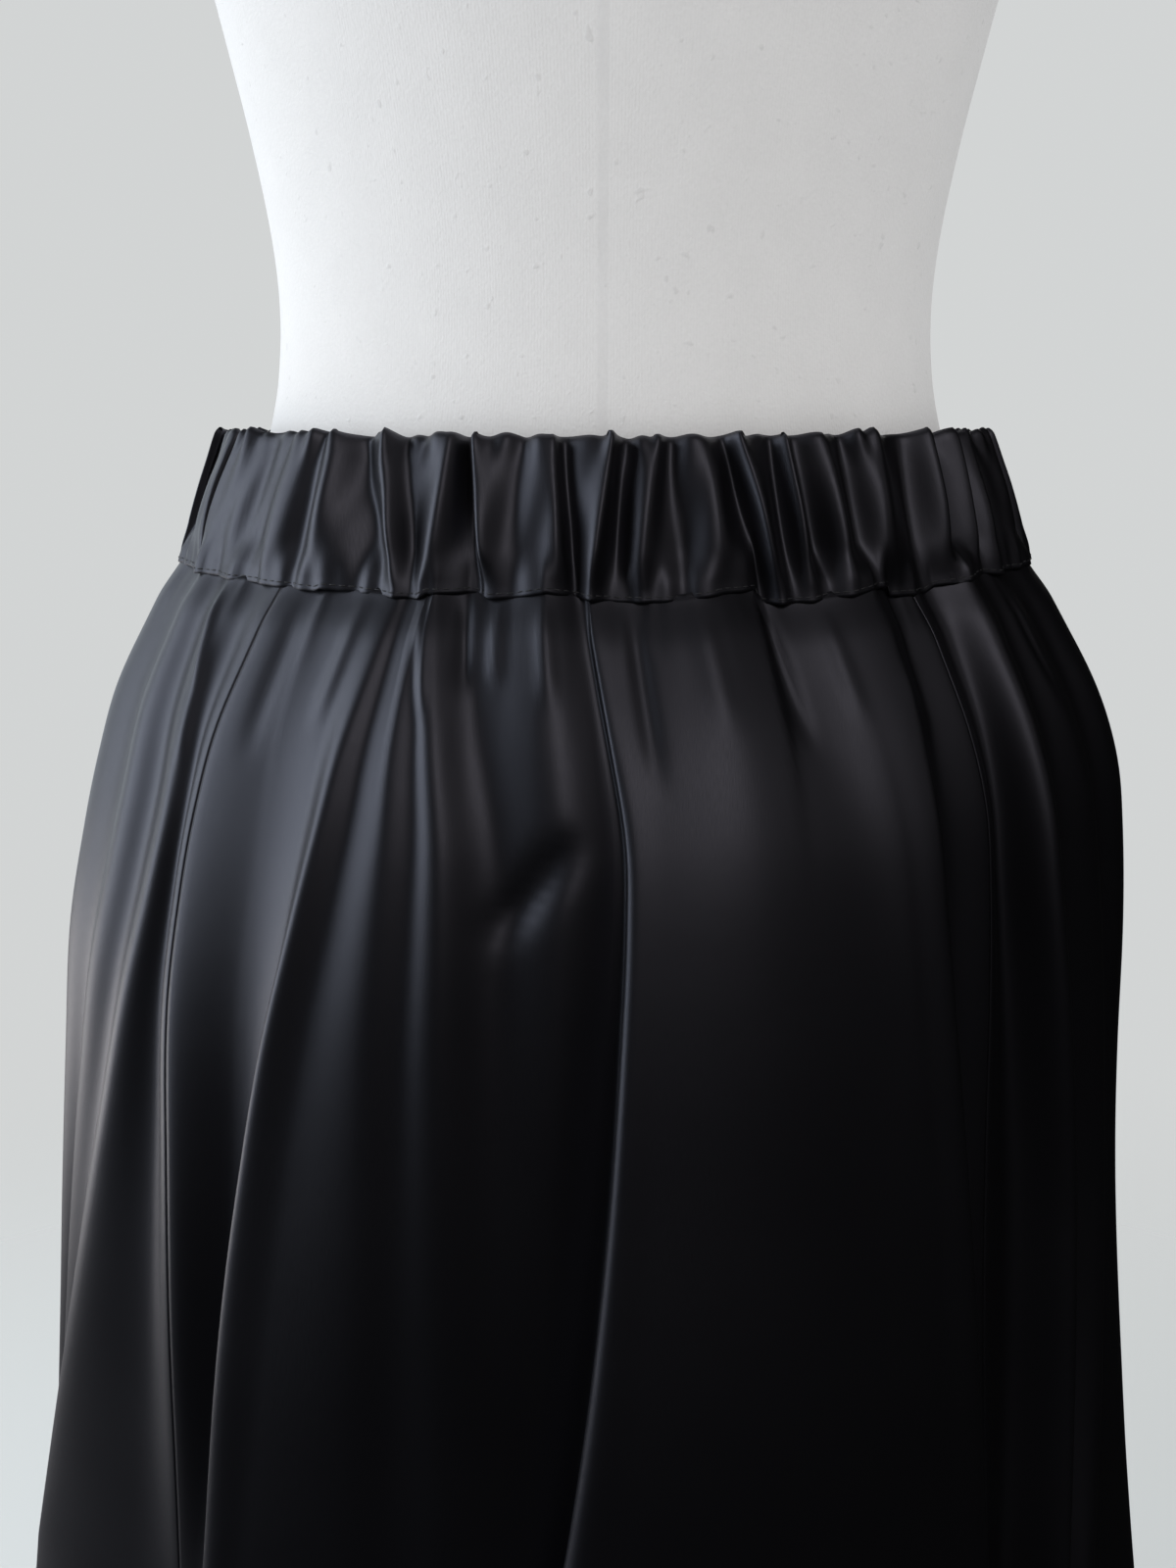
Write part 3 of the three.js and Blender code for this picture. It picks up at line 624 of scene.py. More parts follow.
@dataclass
class SkirtCut:
    """The skirt's form: sizes, fold lines, and the surface through them."""

    waist_seam_z: float = 991.2
    hem_seam_z: float = 172.0
    waist_tilt: float = 0.052
    hem_gathers: int = 72
    hem_rise: float = 2.4
    hem_reach: float = 150.0
    side_lines: int = 7
    back_lines: int = 11
    back_right: float = 135.0
    back_left: float = 225.0
    side_right: float = 82.0
    side_left: float = 277.0
    wander_share: float = 0.7
    pucker_reach: float = 34.0
    pucker_share: float = 0.55
    pucker_width: float = 1.6
    pucker_widening: float = 0.07
    puckers: int = 74
    seed: int = 7

    def __post_init__(self) -> None:
        """Lines the folds up once round from the left seam, and notes where the seams fall."""
        names = [fold.name for fold in FRONT_FOLDS]
        left, right = names.index("left seam"), names.index("right seam")
        rows = [(fold.turn, fold.rise) for fold in FRONT_FOLDS[left:]]
        shown = len(rows)
        rows += self.plain_folds(self.side_right, self.back_right, self.side_lines)
        rows.append(self.seam_fold(self.back_right))
        rows += self.plain_folds(self.back_right, self.back_left, self.back_lines)
        rows.append(self.seam_fold(self.back_left))
        rows += self.plain_folds(self.back_left, self.side_left, self.side_lines)
        rows += [(tuple(turn + 360 for turn in fold.turn), fold.rise) for fold in FRONT_FOLDS[:left]]
        self.turns = np.array([row[0] for row in rows], float)
        self.rises = np.array([row[1] for row in rows], float)
        back_right = shown + self.side_lines
        self.seams = {
            "left": 0, "right": right - left, "back_right": back_right,
            "back_left": back_right + self.back_lines + 1, "all": len(rows),
        }
        rng = np.random.default_rng(self.seed)
        self.pucker_turns = np.sort(rng.uniform(-180, 180, self.puckers))
        self.pucker_rises = rng.uniform(-1.1, 0.9, self.puckers)
        self.pucker_lengths = rng.uniform(0.35, 1.0, self.puckers) * self.pucker_reach

    @staticmethod
    def seam_fold(turn: float) -> tuple[tuple, tuple]:
        """A hidden seam's fold line, lying a little in."""
        return (turn,) * 4, (0.0, -1.0, -2.0, -2.0)

    @staticmethod
    def plain_folds(start: float, end: float, lines: int) -> list[tuple[tuple, tuple]]:
        """Crests and valleys by turns between two turns, uneven by sines of their number.

        Args:
            start: First turn, degrees.
            end: Last turn.
            lines: How many fold lines lie between.

        Returns:
            (turns, rises) of each line.
        """
        k = np.arange(lines)
        spacing = (end - start) / (lines + 1)
        turn = start + spacing * (k + 1) + 0.22 * spacing * np.sin(2.7 * k + start)
        height = np.where(k % 2 == 0, -1, 1) * (0.8 + 0.25 * np.sin(1.9 * k + end))
        return [((t,) * 4, tuple(rise * h for rise in HIDDEN_RISE)) for t, h in zip(turn, height)]

    def folds_at(self, z: np.ndarray) -> tuple[np.ndarray, np.ndarray]:
        """Turn and rise of every fold line at heights z, each shape (rows, folds)."""
        heights = np.array(FOLD_HEIGHTS[::-1])
        turn = cubic_through(heights, self.turns.T[::-1], z)
        rise = cubic_through(heights, self.rises.T[::-1], z)
        depth = smooth_step(z, self.hem_seam_z, self.hem_seam_z + self.hem_reach)
        return turn, rise * depth[:, None]

    def pucker(self, turn: np.ndarray, z: np.ndarray) -> np.ndarray:
        """Rise of the puckers above the hem band: a wavering cosine round, fading upwards."""
        near = 1.0 - smooth_step(z, self.hem_seam_z, self.hem_seam_z + self.hem_reach)
        angle = np.radians(turn)
        return self.hem_rise * near * np.cos(0.5 * self.hem_gathers * angle + 1.3 * np.sin(5 * angle))

    def seam_lift(self, turn: np.ndarray) -> np.ndarray:
        """How far the waist seam lies above its plane, mm: a share of the table, straight between turns."""
        table = np.array(SEAM_WANDER, float)
        wrapped = (np.asarray(turn) + 180.0) % 360.0 - 180.0
        lift = np.interp(wrapped, np.append(table[:, 0], 180.0), np.append(table[:, 1], 0.0))
        return self.wander_share * lift

    def creases(self, turn: np.ndarray, z: np.ndarray, radius: float = 180.0) -> np.ndarray:
        """Rise of the short creases and of the puckers under the waist seam.

        A crease is its rise times exp(-(distance across it / width)^2), easing out at both ends.
        A pucker does the same across its turn and falls off downwards over its length.

        Args:
            turn: Degrees, shape (rows, columns).
            z: Heights, shape (rows, columns).
            radius: Mean radius that turns degrees into mm.

        Returns:
            Rise in mm, the same shape.
        """
        wrapped = (turn + 180.0) % 360.0 - 180.0
        total = np.zeros_like(turn)
        arc = np.radians(1.0) * radius
        for crease in SHORT_CREASES:
            run = np.array([(crease.end[0] - crease.start[0]) * arc, crease.end[1] - crease.start[1]])
            length = float(np.hypot(*run))
            unit = run / length
            x = (wrapped - crease.start[0]) * arc
            y = z - crease.start[1]
            along = x * unit[0] + y * unit[1]
            across = x * unit[1] - y * unit[0]
            ends = smooth_step(along, -0.25 * length, 0.3 * length)
            ends = ends * (1 - smooth_step(along, 0.7 * length, 1.25 * length))
            total += crease.rise * ends * np.exp(-((across / crease.width) ** 2))
        below = self.waist_seam_z - z
        for at, rise, reach in zip(self.pucker_turns, self.pucker_rises, self.pucker_lengths):
            across = (wrapped - at) * arc
            fall = 1 - smooth_step(below, 0.2 * reach, 1.3 * reach)
            width = self.pucker_width + self.pucker_widening * np.maximum(below, 0)
            total += self.pucker_share * rise * fall * np.exp(-((across / width) ** 2))
        return total

    def surface(self, rows: np.ndarray, place: np.ndarray) -> np.ndarray:
        """The skirt's outer surface.

        A point is the middle plus (half width + rise) sin(turn) and -(half depth + rise) cos(turn),
        with turn and rise from the closed curve through the fold lines at that height.

        Args:
            rows: Shares of the way down from waist seam to hem seam, shape (rows,).
            place: Places round, counted in fold lines, shape (columns,).

        Returns:
            Grid in mm, shape (rows, columns, 3).
        """
        z = self.waist_seam_z + (self.hem_seam_z - self.waist_seam_z) * rows
        turns, rises = self.folds_at(z)
        turn = around(turns, place, 360.0)
        rise = around(rises, place)
        level = np.broadcast_to(z[:, None], turn.shape)
        rise = rise + self.pucker(turn, level) + self.creases(turn, level)
        width = level_column(SKIRT_LEVELS, "half_width", z)[:, None]
        depth = level_column(SKIRT_LEVELS, "half_depth", z)[:, None]
        lean = level_column(SKIRT_LEVELS, "lean", z)[:, None]
        x = lean + (width + rise) * np.sin(np.radians(turn))
        y = -(depth + rise) * np.cos(np.radians(turn))
        tilt = self.waist_tilt * (1 - rows[:, None])
        lift = self.seam_lift(turn) * (1 - smooth_step(rows, 0.0, 0.12))[:, None]
        return np.stack([x, y, level + tilt * y + lift], axis=-1)

    def top_rise(self, turn: np.ndarray) -> np.ndarray:
        """Rise of the skirt's own top edge at any turns, straight between fold lines."""
        turns, rises = self.folds_at(np.array([self.waist_seam_z]))
        knots = np.concatenate([turns[0], [turns[0, 0] + 360.0]])
        values = np.concatenate([rises[0], [rises[0, 0]]])
        return np.interp((turn - knots[0]) % 360.0 + knots[0], knots, values)


@dataclass
class Gores:
    """The four gores, thin shells of satin between the waist seam and the hem band."""

    cut: SkirtCut
    satin: bpy.types.Material
    cloth: float = 1.3
    seam_gap: float = 0.06
    tuck: float = 1.7
    seam_dip: float = 0.12
    dip_width: float = 1.6
    bunching: float = 0.085
    rows: int = 170
    columns: tuple[tuple[str, str, str, int], ...] = (
        ("panel_front", "left", "right", 280),
        ("panel_right", "right", "back_right", 170),
        ("panel_back", "back_right", "back_left", 150),
        ("panel_left", "back_left", "all", 170),
    )

    def row_shares(self) -> np.ndarray:
        """Shares of the way down, closer together near the waist and the hem."""
        t = np.linspace(0, 1, self.rows)
        return t - self.bunching * np.sin(TWO_PI * t)

    def build(self) -> list[bpy.types.Object]:
        """Makes the gores.

        The inner face is the outer one moved in by the cloth's thickness along its normal. Rims
        close the two, and beside a seam both dip slightly.

        Returns:
            The gores, in the order of columns.
        """
        made = []
        shares = self.row_shares()
        for name, start, end, count in self.columns:
            first, last = self.cut.seams[start], self.cut.seams[end]
            place = np.linspace(first, last, count)
            step = place[1] - place[0]
            padded = np.concatenate([[first - step], place, [last + step]])
            wide = self.cut.surface(shares, padded)
            normals = grid_normals(wide, False)[:, 1:-1]
            outer = wide[:, 1:-1].copy()
            across = np.cumsum(np.linalg.norm(np.diff(outer, axis=1), axis=2), axis=1)
            across = np.concatenate([np.zeros((len(shares), 1)), across], axis=1)
            from_seam = np.minimum(across, across[:, -1:] - across)
            dip = self.seam_dip * np.exp(-((from_seam / self.dip_width) ** 2))
            under = self.tuck * (1 - smooth_step(shares, 0.0, 0.02))[:, None]
            outer -= normals * (dip + under)[..., None]
            along = np.gradient(outer, axis=1)
            along /= np.linalg.norm(along, axis=2, keepdims=True)
            outer[:, 0] += along[:, 0] * self.seam_gap / 2
            outer[:, -1] -= along[:, -1] * self.seam_gap / 2
            inner = outer - normals * self.cloth
            made.append(self.shell(name, outer, inner, across, shares))
        return made

    def shell(self, name: str, outer: np.ndarray, inner: np.ndarray, across: np.ndarray,
              shares: np.ndarray) -> bpy.types.Object:
        """Args:
            name: The gore's node name.
            outer: Outer grid.
            inner: Inner grid.
            across: Distance from the left seam along the cloth, mm.
            shares: Row shares; not used.

        Returns:
            The gore.
        """
        rows, columns = outer.shape[:2]
        size = rows * columns
        front = quads(rows, columns, False, False)
        back = quads(rows, columns, False, False, size)[:, ::-1]
        edge = np.concatenate([
            np.arange(columns), columns * np.arange(1, rows) + columns - 1,
            (rows - 1) * columns + np.arange(columns - 2, -1, -1), columns * np.arange(rows - 2, 0, -1),
        ])
        beside = np.roll(edge, -1)
        rims = np.stack([edge, beside, beside + size, edge + size], axis=1)
        steps = np.linalg.norm(np.diff(outer, axis=0), axis=2).mean(axis=1)
        length = np.concatenate([[0], np.cumsum(steps)])
        uv = np.stack([across - across[:, -1:] / 2, np.broadcast_to(-length[:, None], across.shape)], -1)
        uv = uv.reshape(-1, 2) * MM
        points = np.concatenate([outer.reshape(-1, 3), inner.reshape(-1, 3)])
        gore = make_mesh(f"{name}_cloth", points, np.concatenate([front, back, rims]), np.tile(uv, (2, 1)))
        dress(gore, self.satin, Slot.SATIN, name)
        flat = np.cross(outer[1:, :-1] - outer[:-1, :-1], outer[:-1, 1:] - outer[:-1, :-1])
        return gore


@dataclass
class Waistband:
    """The gathered casing over its elastic, with a turned lower lip and a row of topstitching."""

    cut: SkirtCut
    satin: bpy.types.Material
    thread: bpy.types.Material
    top_z: float = 1039.3
    rim_half_width: float = 145.5
    rim_half_depth: float = 105.0
    hidden_from: float = 69.0
    hidden_to: float = 288.0
    hidden_lines: int = 48
    hidden_rise: float = 3.0
    columns: int = 1500
    face_rows: int = 26
    thickness: float = 3.0
    lip: float = 3.2
    stitch_up: float = 1.7
    stitch_length: float = 2.7
    stitch_gap: float = 0.7
    end_drop: float = 6.0
    rim_pucker: float = 0.75
    stitch_pucker: float = 0.6
    slant_pucker: float = 0.35
    broad_pucker: float = 0.5
    stitch_samples: int = 6000

    def gathers(self) -> np.ndarray:
        """Upper turn, lower turn and rise of each gather line, once round, shape (n, 3)."""
        shown = [line for gather in BAND_GATHERS for line in (gather.ridge, gather.valley)]
        k = np.arange(self.hidden_lines)
        spacing = (self.hidden_to - self.hidden_from) / self.hidden_lines
        lower = self.hidden_from + spacing * (k + 0.3 * np.sin(2.1 * k))
        upper = lower + 0.3 * spacing * np.sin(1.3 * k)
        rise = np.where(k % 2 == 0, 1, -1) * self.hidden_rise * (0.8 + 0.3 * np.sin(1.7 * k))
        return np.concatenate([np.array(shown, float), np.stack([upper, lower, rise], axis=1)])

    def face(self, share: np.ndarray, place: np.ndarray) -> np.ndarray:
        """The casing's outer face.

        Its outline runs straight from the rim's ellipse to the seam's. The gathers' turns run
        straight too, and their rise gives way to the skirt's own top edge near the seam. The rim
        sinks by the end drop from the front round to the back.

        Args:
            share: Way down from rim to seam, shape (rows,); past 1 it goes on below the seam.
            place: Places round in gather lines, shape (columns,).

        Returns:
            Grid in mm, shape (rows, columns, 3).
        """
        lines = self.gathers()
        down = np.clip(share, 0, 1)[:, None]
        turns = lines[:, 0] * (1 - down) + lines[:, 1] * down
        turn = around(turns, place, 360.0)
        rise = around(np.repeat(lines[None, :, 2], len(share), axis=0), place)
        swell = 0.95 + 0.30 * np.sin(math.pi * down) - 0.42 * smooth_step(down, 0.72, 1.0)
        fine = self.fine_puckers(turn, down)
        out = rise * swell * (1 - 0.35 * down**6) + fine
        out += self.cut.top_rise(turn) * smooth_step(down, 0.75, 1.0)
        out += 1.2 * np.sin(math.pi * down) ** 0.7
        first = SKIRT_LEVELS[0]
        full = share[:, None]
        width = self.rim_half_width + (first.half_width - self.rim_half_width) * full
        depth = self.rim_half_depth + (first.half_depth - self.rim_half_depth) * full
        x = (width + out) * np.sin(np.radians(turn))
        y = -(depth + out) * np.cos(np.radians(turn))
        z = self.top_z + (self.cut.waist_seam_z - self.top_z) * full + self.cut.waist_tilt * y
        z = z + self.cut.seam_lift(turn) * smooth_step(down, 0.35, 1.0)
        z = z + (0.32 * rise + 0.9 * fine) * (1 - smooth_step(down, 0.0, 0.3))
        z = z - self.end_drop * smooth_step(y, -95.0, 40.0) * (1 - down)
        return np.stack([x, y, z], axis=-1)

    def fine_puckers(self, turn: np.ndarray, down: np.ndarray) -> np.ndarray:
        """Small puckers: one wave at the rim and the stitching, and two slanting waves all over."""
        angle = np.radians(turn)
        wave = np.sin(97 * angle + 2.0 * np.sin(11 * angle)) * (0.6 + 0.4 * np.sin(23 * angle))
        slanted = np.sin(71 * angle + 5 * down + 1.7 * np.sin(7 * angle))
        near_rim = np.exp(-((down / 0.16) ** 2))
        near_stitch = np.exp(-(((down - 0.95) / 0.14) ** 2))
        broad = np.sin(43 * angle - 3 * down + 2.2 * np.sin(5 * angle))
        return (
            self.rim_pucker * wave * near_rim + self.stitch_pucker * wave * near_stitch
            + self.slant_pucker * slanted + self.broad_pucker * broad
        )

    def section(self) -> tuple[np.ndarray, np.ndarray]:
        """The casing's closed cross-section, as shares down the face and depths in from it.

        Returns:
            Shares of the way down and depths in mm: the rim's roll, the face, the lip and the back.
        """
        height = self.top_z - self.cut.waist_seam_z
        lip = 1 + self.lip / height
        face = np.linspace(0.045, lip - 0.02, self.face_rows)
        groove = np.exp(-(((face - (lip - self.stitch_up / height)) * height / 0.55) ** 2))
        turned = np.array([lip - 0.004, lip, lip, lip - 0.008])
        turned_in = np.array([0.15, 0.55, 1.2, 1.7])
        back = np.linspace(0.93, 0.06, 8)
        roll = np.array([0.02, 0.0, 0.0, 0.02])
        roll_in = np.array([0.86, 0.62, 0.34, 0.1]) * self.thickness
        shares = np.concatenate([face, turned, back, roll])
        ins = np.concatenate([0.4 * groove, turned_in, np.full(8, self.thickness), roll_in])
        return shares, ins

    def build(self) -> bpy.types.Object:
        """Makes the casing as one closed band and sews its stitches.

        Returns:
            The casing.
        """
        shares, ins = self.section()
        knots = len(self.gathers())
        place = np.linspace(0, knots, self.columns, endpoint=False)
        face = self.face(shares, place)
        flat_normals = grid_normals(self.face(np.linspace(0, 1, 12), place), True)[6]
        normals = flat_normals[None] * np.array([1.0, 1.0, 0.35])
        points = face - normals * ins[:, None, None]
        rows = len(shares)
        length = np.concatenate([[0], np.cumsum(np.linalg.norm(np.diff(face[0], axis=0), axis=1))])
        drop = np.concatenate([[0], np.cumsum(np.linalg.norm(np.diff(points, axis=0), axis=2).mean(axis=1))])
        uv = np.stack(np.broadcast_arrays(length[None, :], -drop[:, None]), axis=-1).reshape(-1, 2) * MM
        casing = make_mesh(
            "waistband_casing", points.reshape(-1, 3), quads(rows, self.columns, True, True), uv)
        dress(casing, self.satin, Slot.SATIN, "waistband")
        tall = (self.top_z - self.cut.waist_seam_z + self.lip) * MM
        self.stitches()
        return casing

    def stitches(self) -> bpy.types.Object:
        """Topstitching: small rounded bars, one after another, along a line above the lip.

        Returns:
            The joined stitches.
        """
        height = self.top_z - self.cut.waist_seam_z
        share = 1 + (self.lip - self.stitch_up) / height
        knots = len(self.gathers())
        fine = np.linspace(0, knots, self.stitch_samples)
        line = self.face(np.array([share - 0.01, share, share + 0.01]), fine)
        normals = grid_normals(line, False)[1]
        line = line[1]
        run = np.concatenate([[0], np.cumsum(np.linalg.norm(np.diff(line, axis=0), axis=1))])
        pitch = self.stitch_length + self.stitch_gap
        count = int(run[-1] // pitch)
        along = np.array([0.0, 0.12, 0.5, 0.88, 1.0]) * self.stitch_length
        at = np.arange(count)[:, None] * pitch + along[None, :]
        centre = np.stack([np.interp(at, run, line[:, axis]) for axis in range(3)], axis=-1)
        out = np.stack([np.interp(at, run, normals[:, axis]) for axis in range(3)], axis=-1)
        side = np.array([0.0, 0.0, 1.0])
        bow = np.array([-0.30, -0.05, 0.0, -0.05, -0.30])
        thick = np.array([0.05, 0.20, 0.23, 0.20, 0.05])
        ring = np.linspace(0, TWO_PI, 6, endpoint=False)
        offset = out[:, :, None, :] * np.cos(ring)[None, None, :, None]
        offset = offset + side * np.sin(ring)[None, None, :, None]
        points = centre[:, :, None, :] + out[:, :, None, :] * bow[None, :, None, None]
        points = points + offset * thick[None, :, None, None]
        one = quads(len(along), len(ring), True, False)
        starts = len(along) * len(ring) * np.arange(count)[:, None, None]
        faces = (one[None] + starts).reshape(-1, 4)
        caps = np.array([[0, 1, 2, 3], [0, 3, 4, 5], [27, 26, 25, 24], [29, 28, 27, 24]])
        ends = (caps[None] + starts).reshape(-1, 4)
        thread = make_mesh("waistband_topstitch", points.reshape(-1, 3), np.concatenate([faces, ends]))
        dress(thread, self.thread, Slot.SATIN)
        return thread


@dataclass
class HemBand:
    """The narrow band that draws the balloon hem in."""

    cut: SkirtCut
    satin: bpy.types.Material
    height: float = 30.0
    seam_rise: float = 0.6
    columns: int = 720

    def build(self) -> bpy.types.Object:
        """Makes the band: the hem's own puckers carried down, flattening, with rounded rims.

        Returns:
            The band.
        """
        outline = SKIRT_LEVELS[-1]
        turn = np.linspace(0, 360, self.columns, endpoint=False)
        down = np.array([0.0, 0.01, 0.04, 0.3, 0.5, 0.7, 0.96, 0.99, 1.0, 1.0, 0.97, 0.7, 0.3, 0.03, 0.0])
        inward = np.array([1.0, 0.4, 0.0, 0.0, 0.0, 0.0, 0.0, 0.4, 1.0, 1.6, 2.4, 2.4, 2.4, 2.4, 1.6])
        level = np.array([self.cut.hem_seam_z])
        rise = self.cut.pucker(turn, level) * (1 - 0.5 * down[:, None])
        rise = rise - inward[:, None] + np.sin(math.pi * down[:, None])
        x = (outline.half_width + rise) * np.sin(np.radians(turn))
        y = -(outline.half_depth + rise) * np.cos(np.radians(turn))
        z = np.broadcast_to(self.cut.hem_seam_z + self.seam_rise - self.height * down[:, None], x.shape)
        points = np.stack([x, y, z], axis=-1)
        length = np.concatenate([[0], np.cumsum(np.linalg.norm(np.diff(points[4], axis=0), axis=1))])
        uv = np.stack(np.broadcast_arrays(length[None, :], -self.height * down[:, None]), -1) * MM
        band = make_mesh(
            "hem_band_cloth", points.reshape(-1, 3), quads(len(down), self.columns, True, True),
            uv.reshape(-1, 2))
        dress(band, self.satin, Slot.SATIN, "hem_band")
        return band


# ---------------------------------------------------------------- the dress form

@dataclass
class DressForm:
    """The limbless torso on its pole and round foot."""

    jersey: bpy.types.Material
    coat: bpy.types.Material
    sides: int = 220
    rows: int = 280
    pole_radius: float = 12.5
    base_radius: float = 180.0
    base_height: float = 22.0
    mean_radius: float = 135.0
    joint_gap: float = 0.3

    def build(self) -> list[bpy.types.Object]:
        """Makes the torso, the pole and the foot."""
        return [self.torso(), self.pole(), self.foot()]

    def torso(self) -> bpy.types.Object:
        """The torso: level ellipses through the table's rows, closed at hip and neck.

        Returns:
            The torso.
        """
        low, high = TORSO_LEVELS[0].z, TORSO_LEVELS[-1].z
        z = np.linspace(high, low, self.rows)
        turn = np.linspace(0, TWO_PI, self.sides, endpoint=False)
        width = level_column(TORSO_LEVELS, "half_width", z)[:, None]
        depth = level_column(TORSO_LEVELS, "half_depth", z)[:, None]
        forward = level_column(TORSO_LEVELS, "forward", z)[:, None]
        x = width * np.sin(turn)
        y = -depth * np.cos(turn) - forward
        body = np.stack(np.broadcast_arrays(x, y, z[:, None]), axis=-1)
        top = np.array([0.0, -forward[0, 0], high])
        bottom = np.array([0.0, -forward[-1, 0], low])
        closing = np.array([0.0, 0.5, 0.95])[:, None, None]
        crown = top + (body[0] - top) * closing
        seat = bottom + (body[-1] - bottom) * closing[::-1]
        points = np.concatenate([crown, body, seat])
        across = np.broadcast_to(turn[None, :] * self.mean_radius, points.shape[:2])
        uv = np.stack([across, points[..., 2]], axis=-1).reshape(-1, 2) * MM
        made = make_mesh(
            "form_body", points.reshape(-1, 3), quads(len(points), self.sides, True, False), uv)
        merge_doubles(made)
        dress(made, self.jersey, Slot.JERSEY, "form_torso")
        return made

    def pole(self) -> bpy.types.Object:
        """The pole, from the foot to the torso, its ends slightly rounded."""
        low = self.base_height + self.joint_gap
        high = TORSO_LEVELS[0].z - self.joint_gap
        r = self.pole_radius
        profile = np.array([
            (0, high), (r - 1, high), (r - 0.3, high - 0.3), (r, high - 1), (r, low + 1),
            (r - 0.3, low + 0.3), (r - 1, low), (0, low)], float)
        made = lathe("stand_pole_tube", profile, 64)
        dress(made, self.coat, Slot.STAND, "stand_pole")
        return made

    def foot(self) -> bpy.types.Object:
        """The round foot, with a soft upper edge and a small collar where the pole enters."""
        angle = np.linspace(0, math.pi / 2, 10)
        soft = 0.45 * self.base_height
        edge = np.stack([
            self.base_radius - soft * 2 * (1 - np.sin(angle)),
            self.base_height - soft * (1 - np.cos(angle))], axis=1)
        profile = np.concatenate([
            [(0, self.base_height), (self.base_radius * 0.5, self.base_height)], edge,
            [(self.base_radius, 1.5), (self.base_radius - 1.5, 0), (0, 0)]])
        made = lathe("stand_foot", profile, 160)
        dress(made, self.coat, Slot.STAND, "stand_base")
        return made


# ---------------------------------------------------------------- floor, light and camera

@dataclass(frozen=True)
class Softbox:
    """A soft rectangular light: its place, target and size in metres, power in watts, and beam in degrees."""

    name: str
    place: tuple[float, float, float]
    target: tuple[float, float, float]
    size: tuple[float, float]
    power: float
    colour: tuple[float, float, float]
    spread: float = 180.0


COOL = (0.84, 0.93, 1.0)
WARM = (1.0, 0.97, 0.94)

SOFTBOXES = (
    Softbox("window_key", (-1.9, -0.2, 1.35), (0.0, 0.0, 0.8), (1.4, 1.7), 27.0, COOL),
    Softbox("window_edge", (-1.35, 1.15, 1.35), (0.0, 0.0, 0.9), (1.0, 1.7), 7.0, COOL),
    Softbox("floor_bounce", (-1.5, 0.45, 0.4), (0.0, 0.0, 0.6), (1.2, 0.4), 1.2, WARM, 75.0),
    Softbox("front_fill", (0.35, -1.9, 2.25), (0.0, 0.0, 0.95), (0.9, 0.8), 9.0, WARM),
    Softbox("right_fill", (1.8, -0.9, 2.0), (0.0, 0.0, 0.95), (0.8, 0.8), 1.0, WARM),
    Softbox("back_fill", (0.9, 2.3, 2.0), (0.0, 0.0, 0.9), (1.0, 1.0), 8.0, WARM),
)


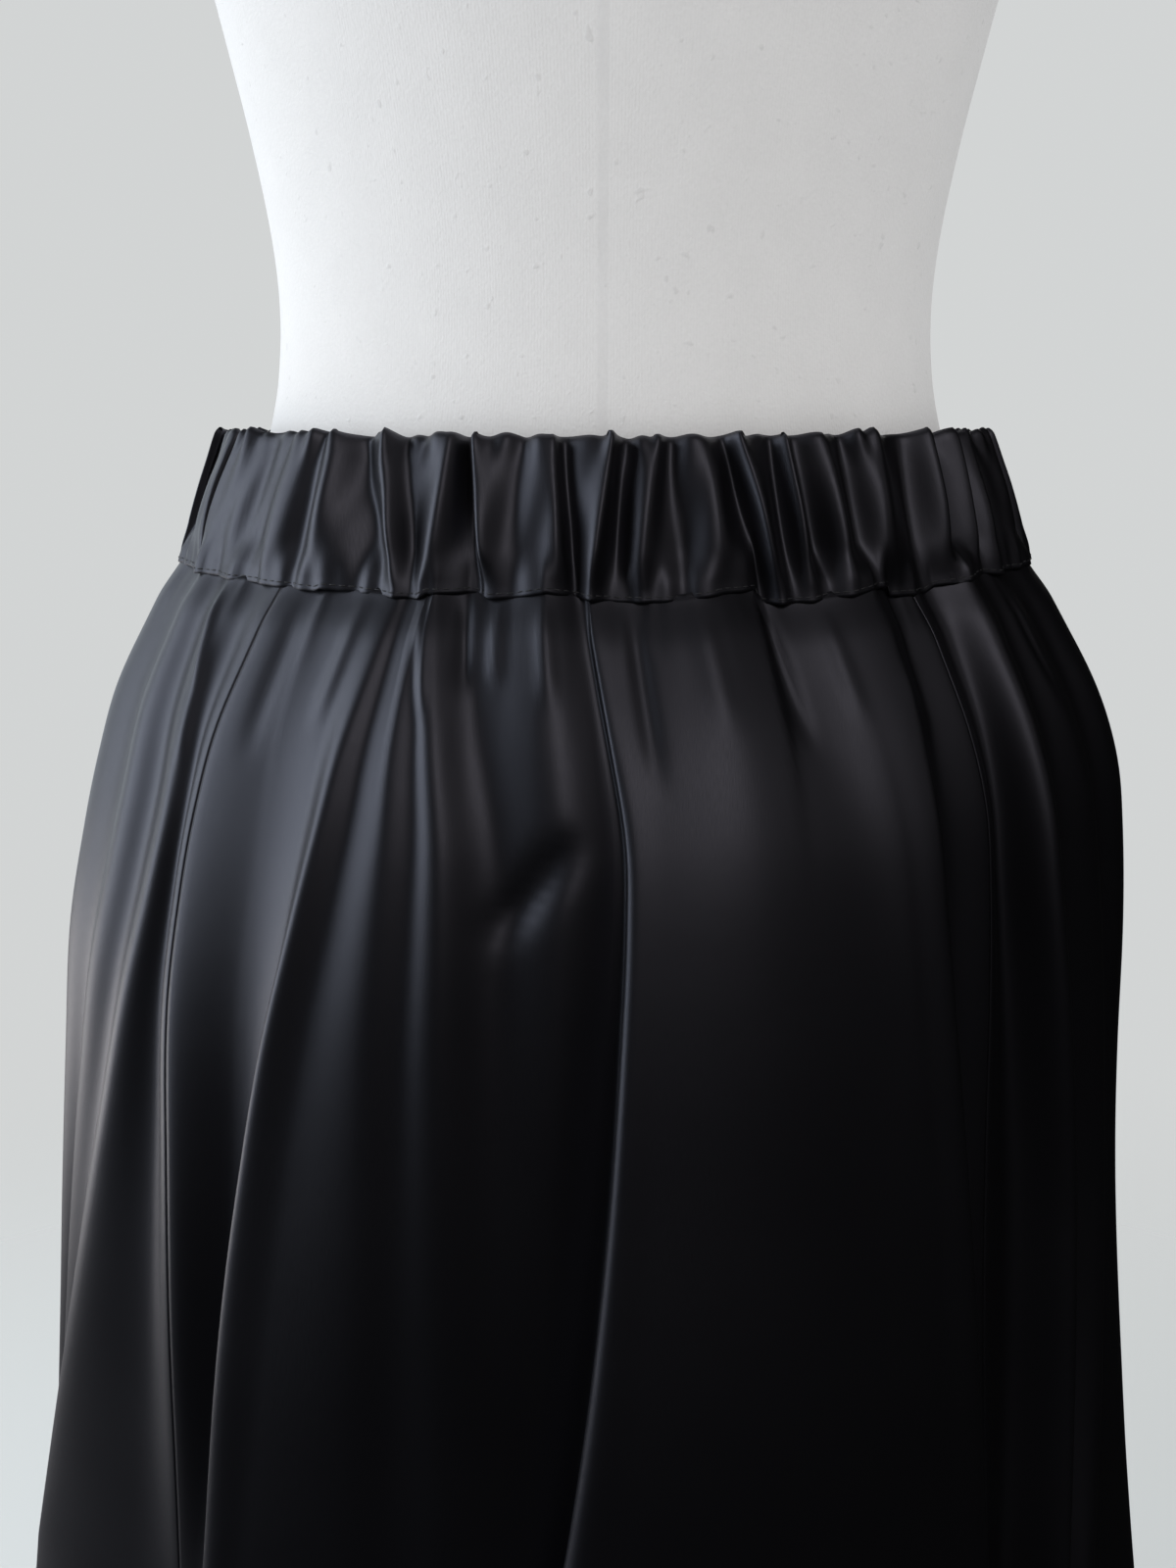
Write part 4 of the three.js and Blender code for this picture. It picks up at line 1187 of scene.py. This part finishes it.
@dataclass
class Studio:
    """A plain pale floor, the softboxes, of which the largest is to the left, and the camera."""

    lens: float = 34.3
    camera: tuple[float, float, float] = (-0.0066, -0.600, 1.036)
    pitch: float = 13.4
    pale: tuple[float, float, float] = (0.645, 0.660, 0.660)
    floor_fade: tuple[float, float] = (0.45, 2.0)
    floor_half: float = 9000.0
    gloss_dimming: float = 0.99

    def build(self) -> None:
        """Sets up the floor, the world, the lights and the camera."""
        self.floor()
        self.world()
        for softbox in SOFTBOXES:
            self.light(softbox)
        self.view()

    def floor(self) -> None:
        """A wide pale floor that gloss rays pass by."""
        size = self.floor_half
        points = np.array([(-size, -size, 0), (size, -size, 0), (size, size, 0), (-size, size, 0)], float)
        made = make_mesh("studio_floor", points, np.array([[0, 1, 2, 3]]))
        material, tree, skin = Finish.blank("studio_floor_paint")
        skin.inputs["Base Color"].default_value = (*self.pale, 1.0)
        skin.inputs["Roughness"].default_value = 0.9
        place = Finish.node(tree, "ShaderNodeTexCoord", {}, {}, "Object")
        away = Finish.node(tree, "ShaderNodeVectorMath", {"operation": "LENGTH"}, (place,), "Value")
        near = Finish.node(
            tree, "ShaderNodeMapRange", {"interpolation_type": "SMOOTHSTEP"},
            {"Value": away, "From Min": self.floor_fade[0], "From Max": self.floor_fade[1],
             "To Min": 1.0, "To Max": 0.0})
        tree.links.new(near.socket, skin.inputs["Alpha"])
        made.data.materials.append(material)
        made.visible_glossy = False

    def world(self) -> None:
        """Pale all round to the eye and to matt surfaces, dim to gloss."""
        world = bpy.data.worlds.new("studio")
        bpy.context.scene.world = world
        world.use_nodes = True
        tree = world.node_tree
        background = tree.nodes["Background"]
        path = tree.nodes.new("ShaderNodeLightPath")
        gloss = Wire(tree, path.outputs["Is Glossy Ray"])
        strength = 1.0 - self.gloss_dimming * gloss
        background.inputs["Color"].default_value = (*self.pale, 1.0)
        tree.links.new(strength.socket, background.inputs["Strength"])

    @staticmethod
    def light(softbox: Softbox) -> None:
        """Adds a soft rectangular light.

        Args:
            softbox: The light.
        """
        lamp = bpy.data.lights.new(softbox.name, "AREA")
        lamp.shape = "RECTANGLE"
        lamp.size, lamp.size_y = softbox.size
        lamp.energy = softbox.power
        lamp.color = softbox.colour
        lamp.spread = math.radians(softbox.spread)
        made = bpy.data.objects.new(softbox.name, lamp)
        made.location = softbox.place
        aim = Vector(softbox.target) - Vector(softbox.place)
        made.rotation_euler = aim.to_track_quat("-Z", "Y").to_euler()
        bpy.context.scene.collection.objects.link(made)

    def view(self) -> None:
        """The camera, level, looking down a little."""
        data = bpy.data.cameras.new("camera")
        data.lens = self.lens
        data.sensor_width = 36.0
        data.clip_start = 0.01
        made = bpy.data.objects.new("camera", data)
        made.location = self.camera
        made.rotation_euler = (math.radians(90.0 - self.pitch), 0.0, 0.0)
        bpy.context.scene.collection.objects.link(made)
        bpy.context.scene.camera = made
        bpy.context.scene.view_settings.view_transform = "Standard"


def main() -> None:
    """Builds the skirt, the dress form and the studio, in that order."""
    Studio().build()
    satin = Satin().build()
    thread = Thread().build()
    cut = SkirtCut()
    Waistband(cut, satin, thread).build()
    Gores(cut, satin).build()
    HemBand(cut, satin).build()
    DressForm(Jersey().build(), PowderCoat().build()).build()


if __name__ == "__main__":
    main()
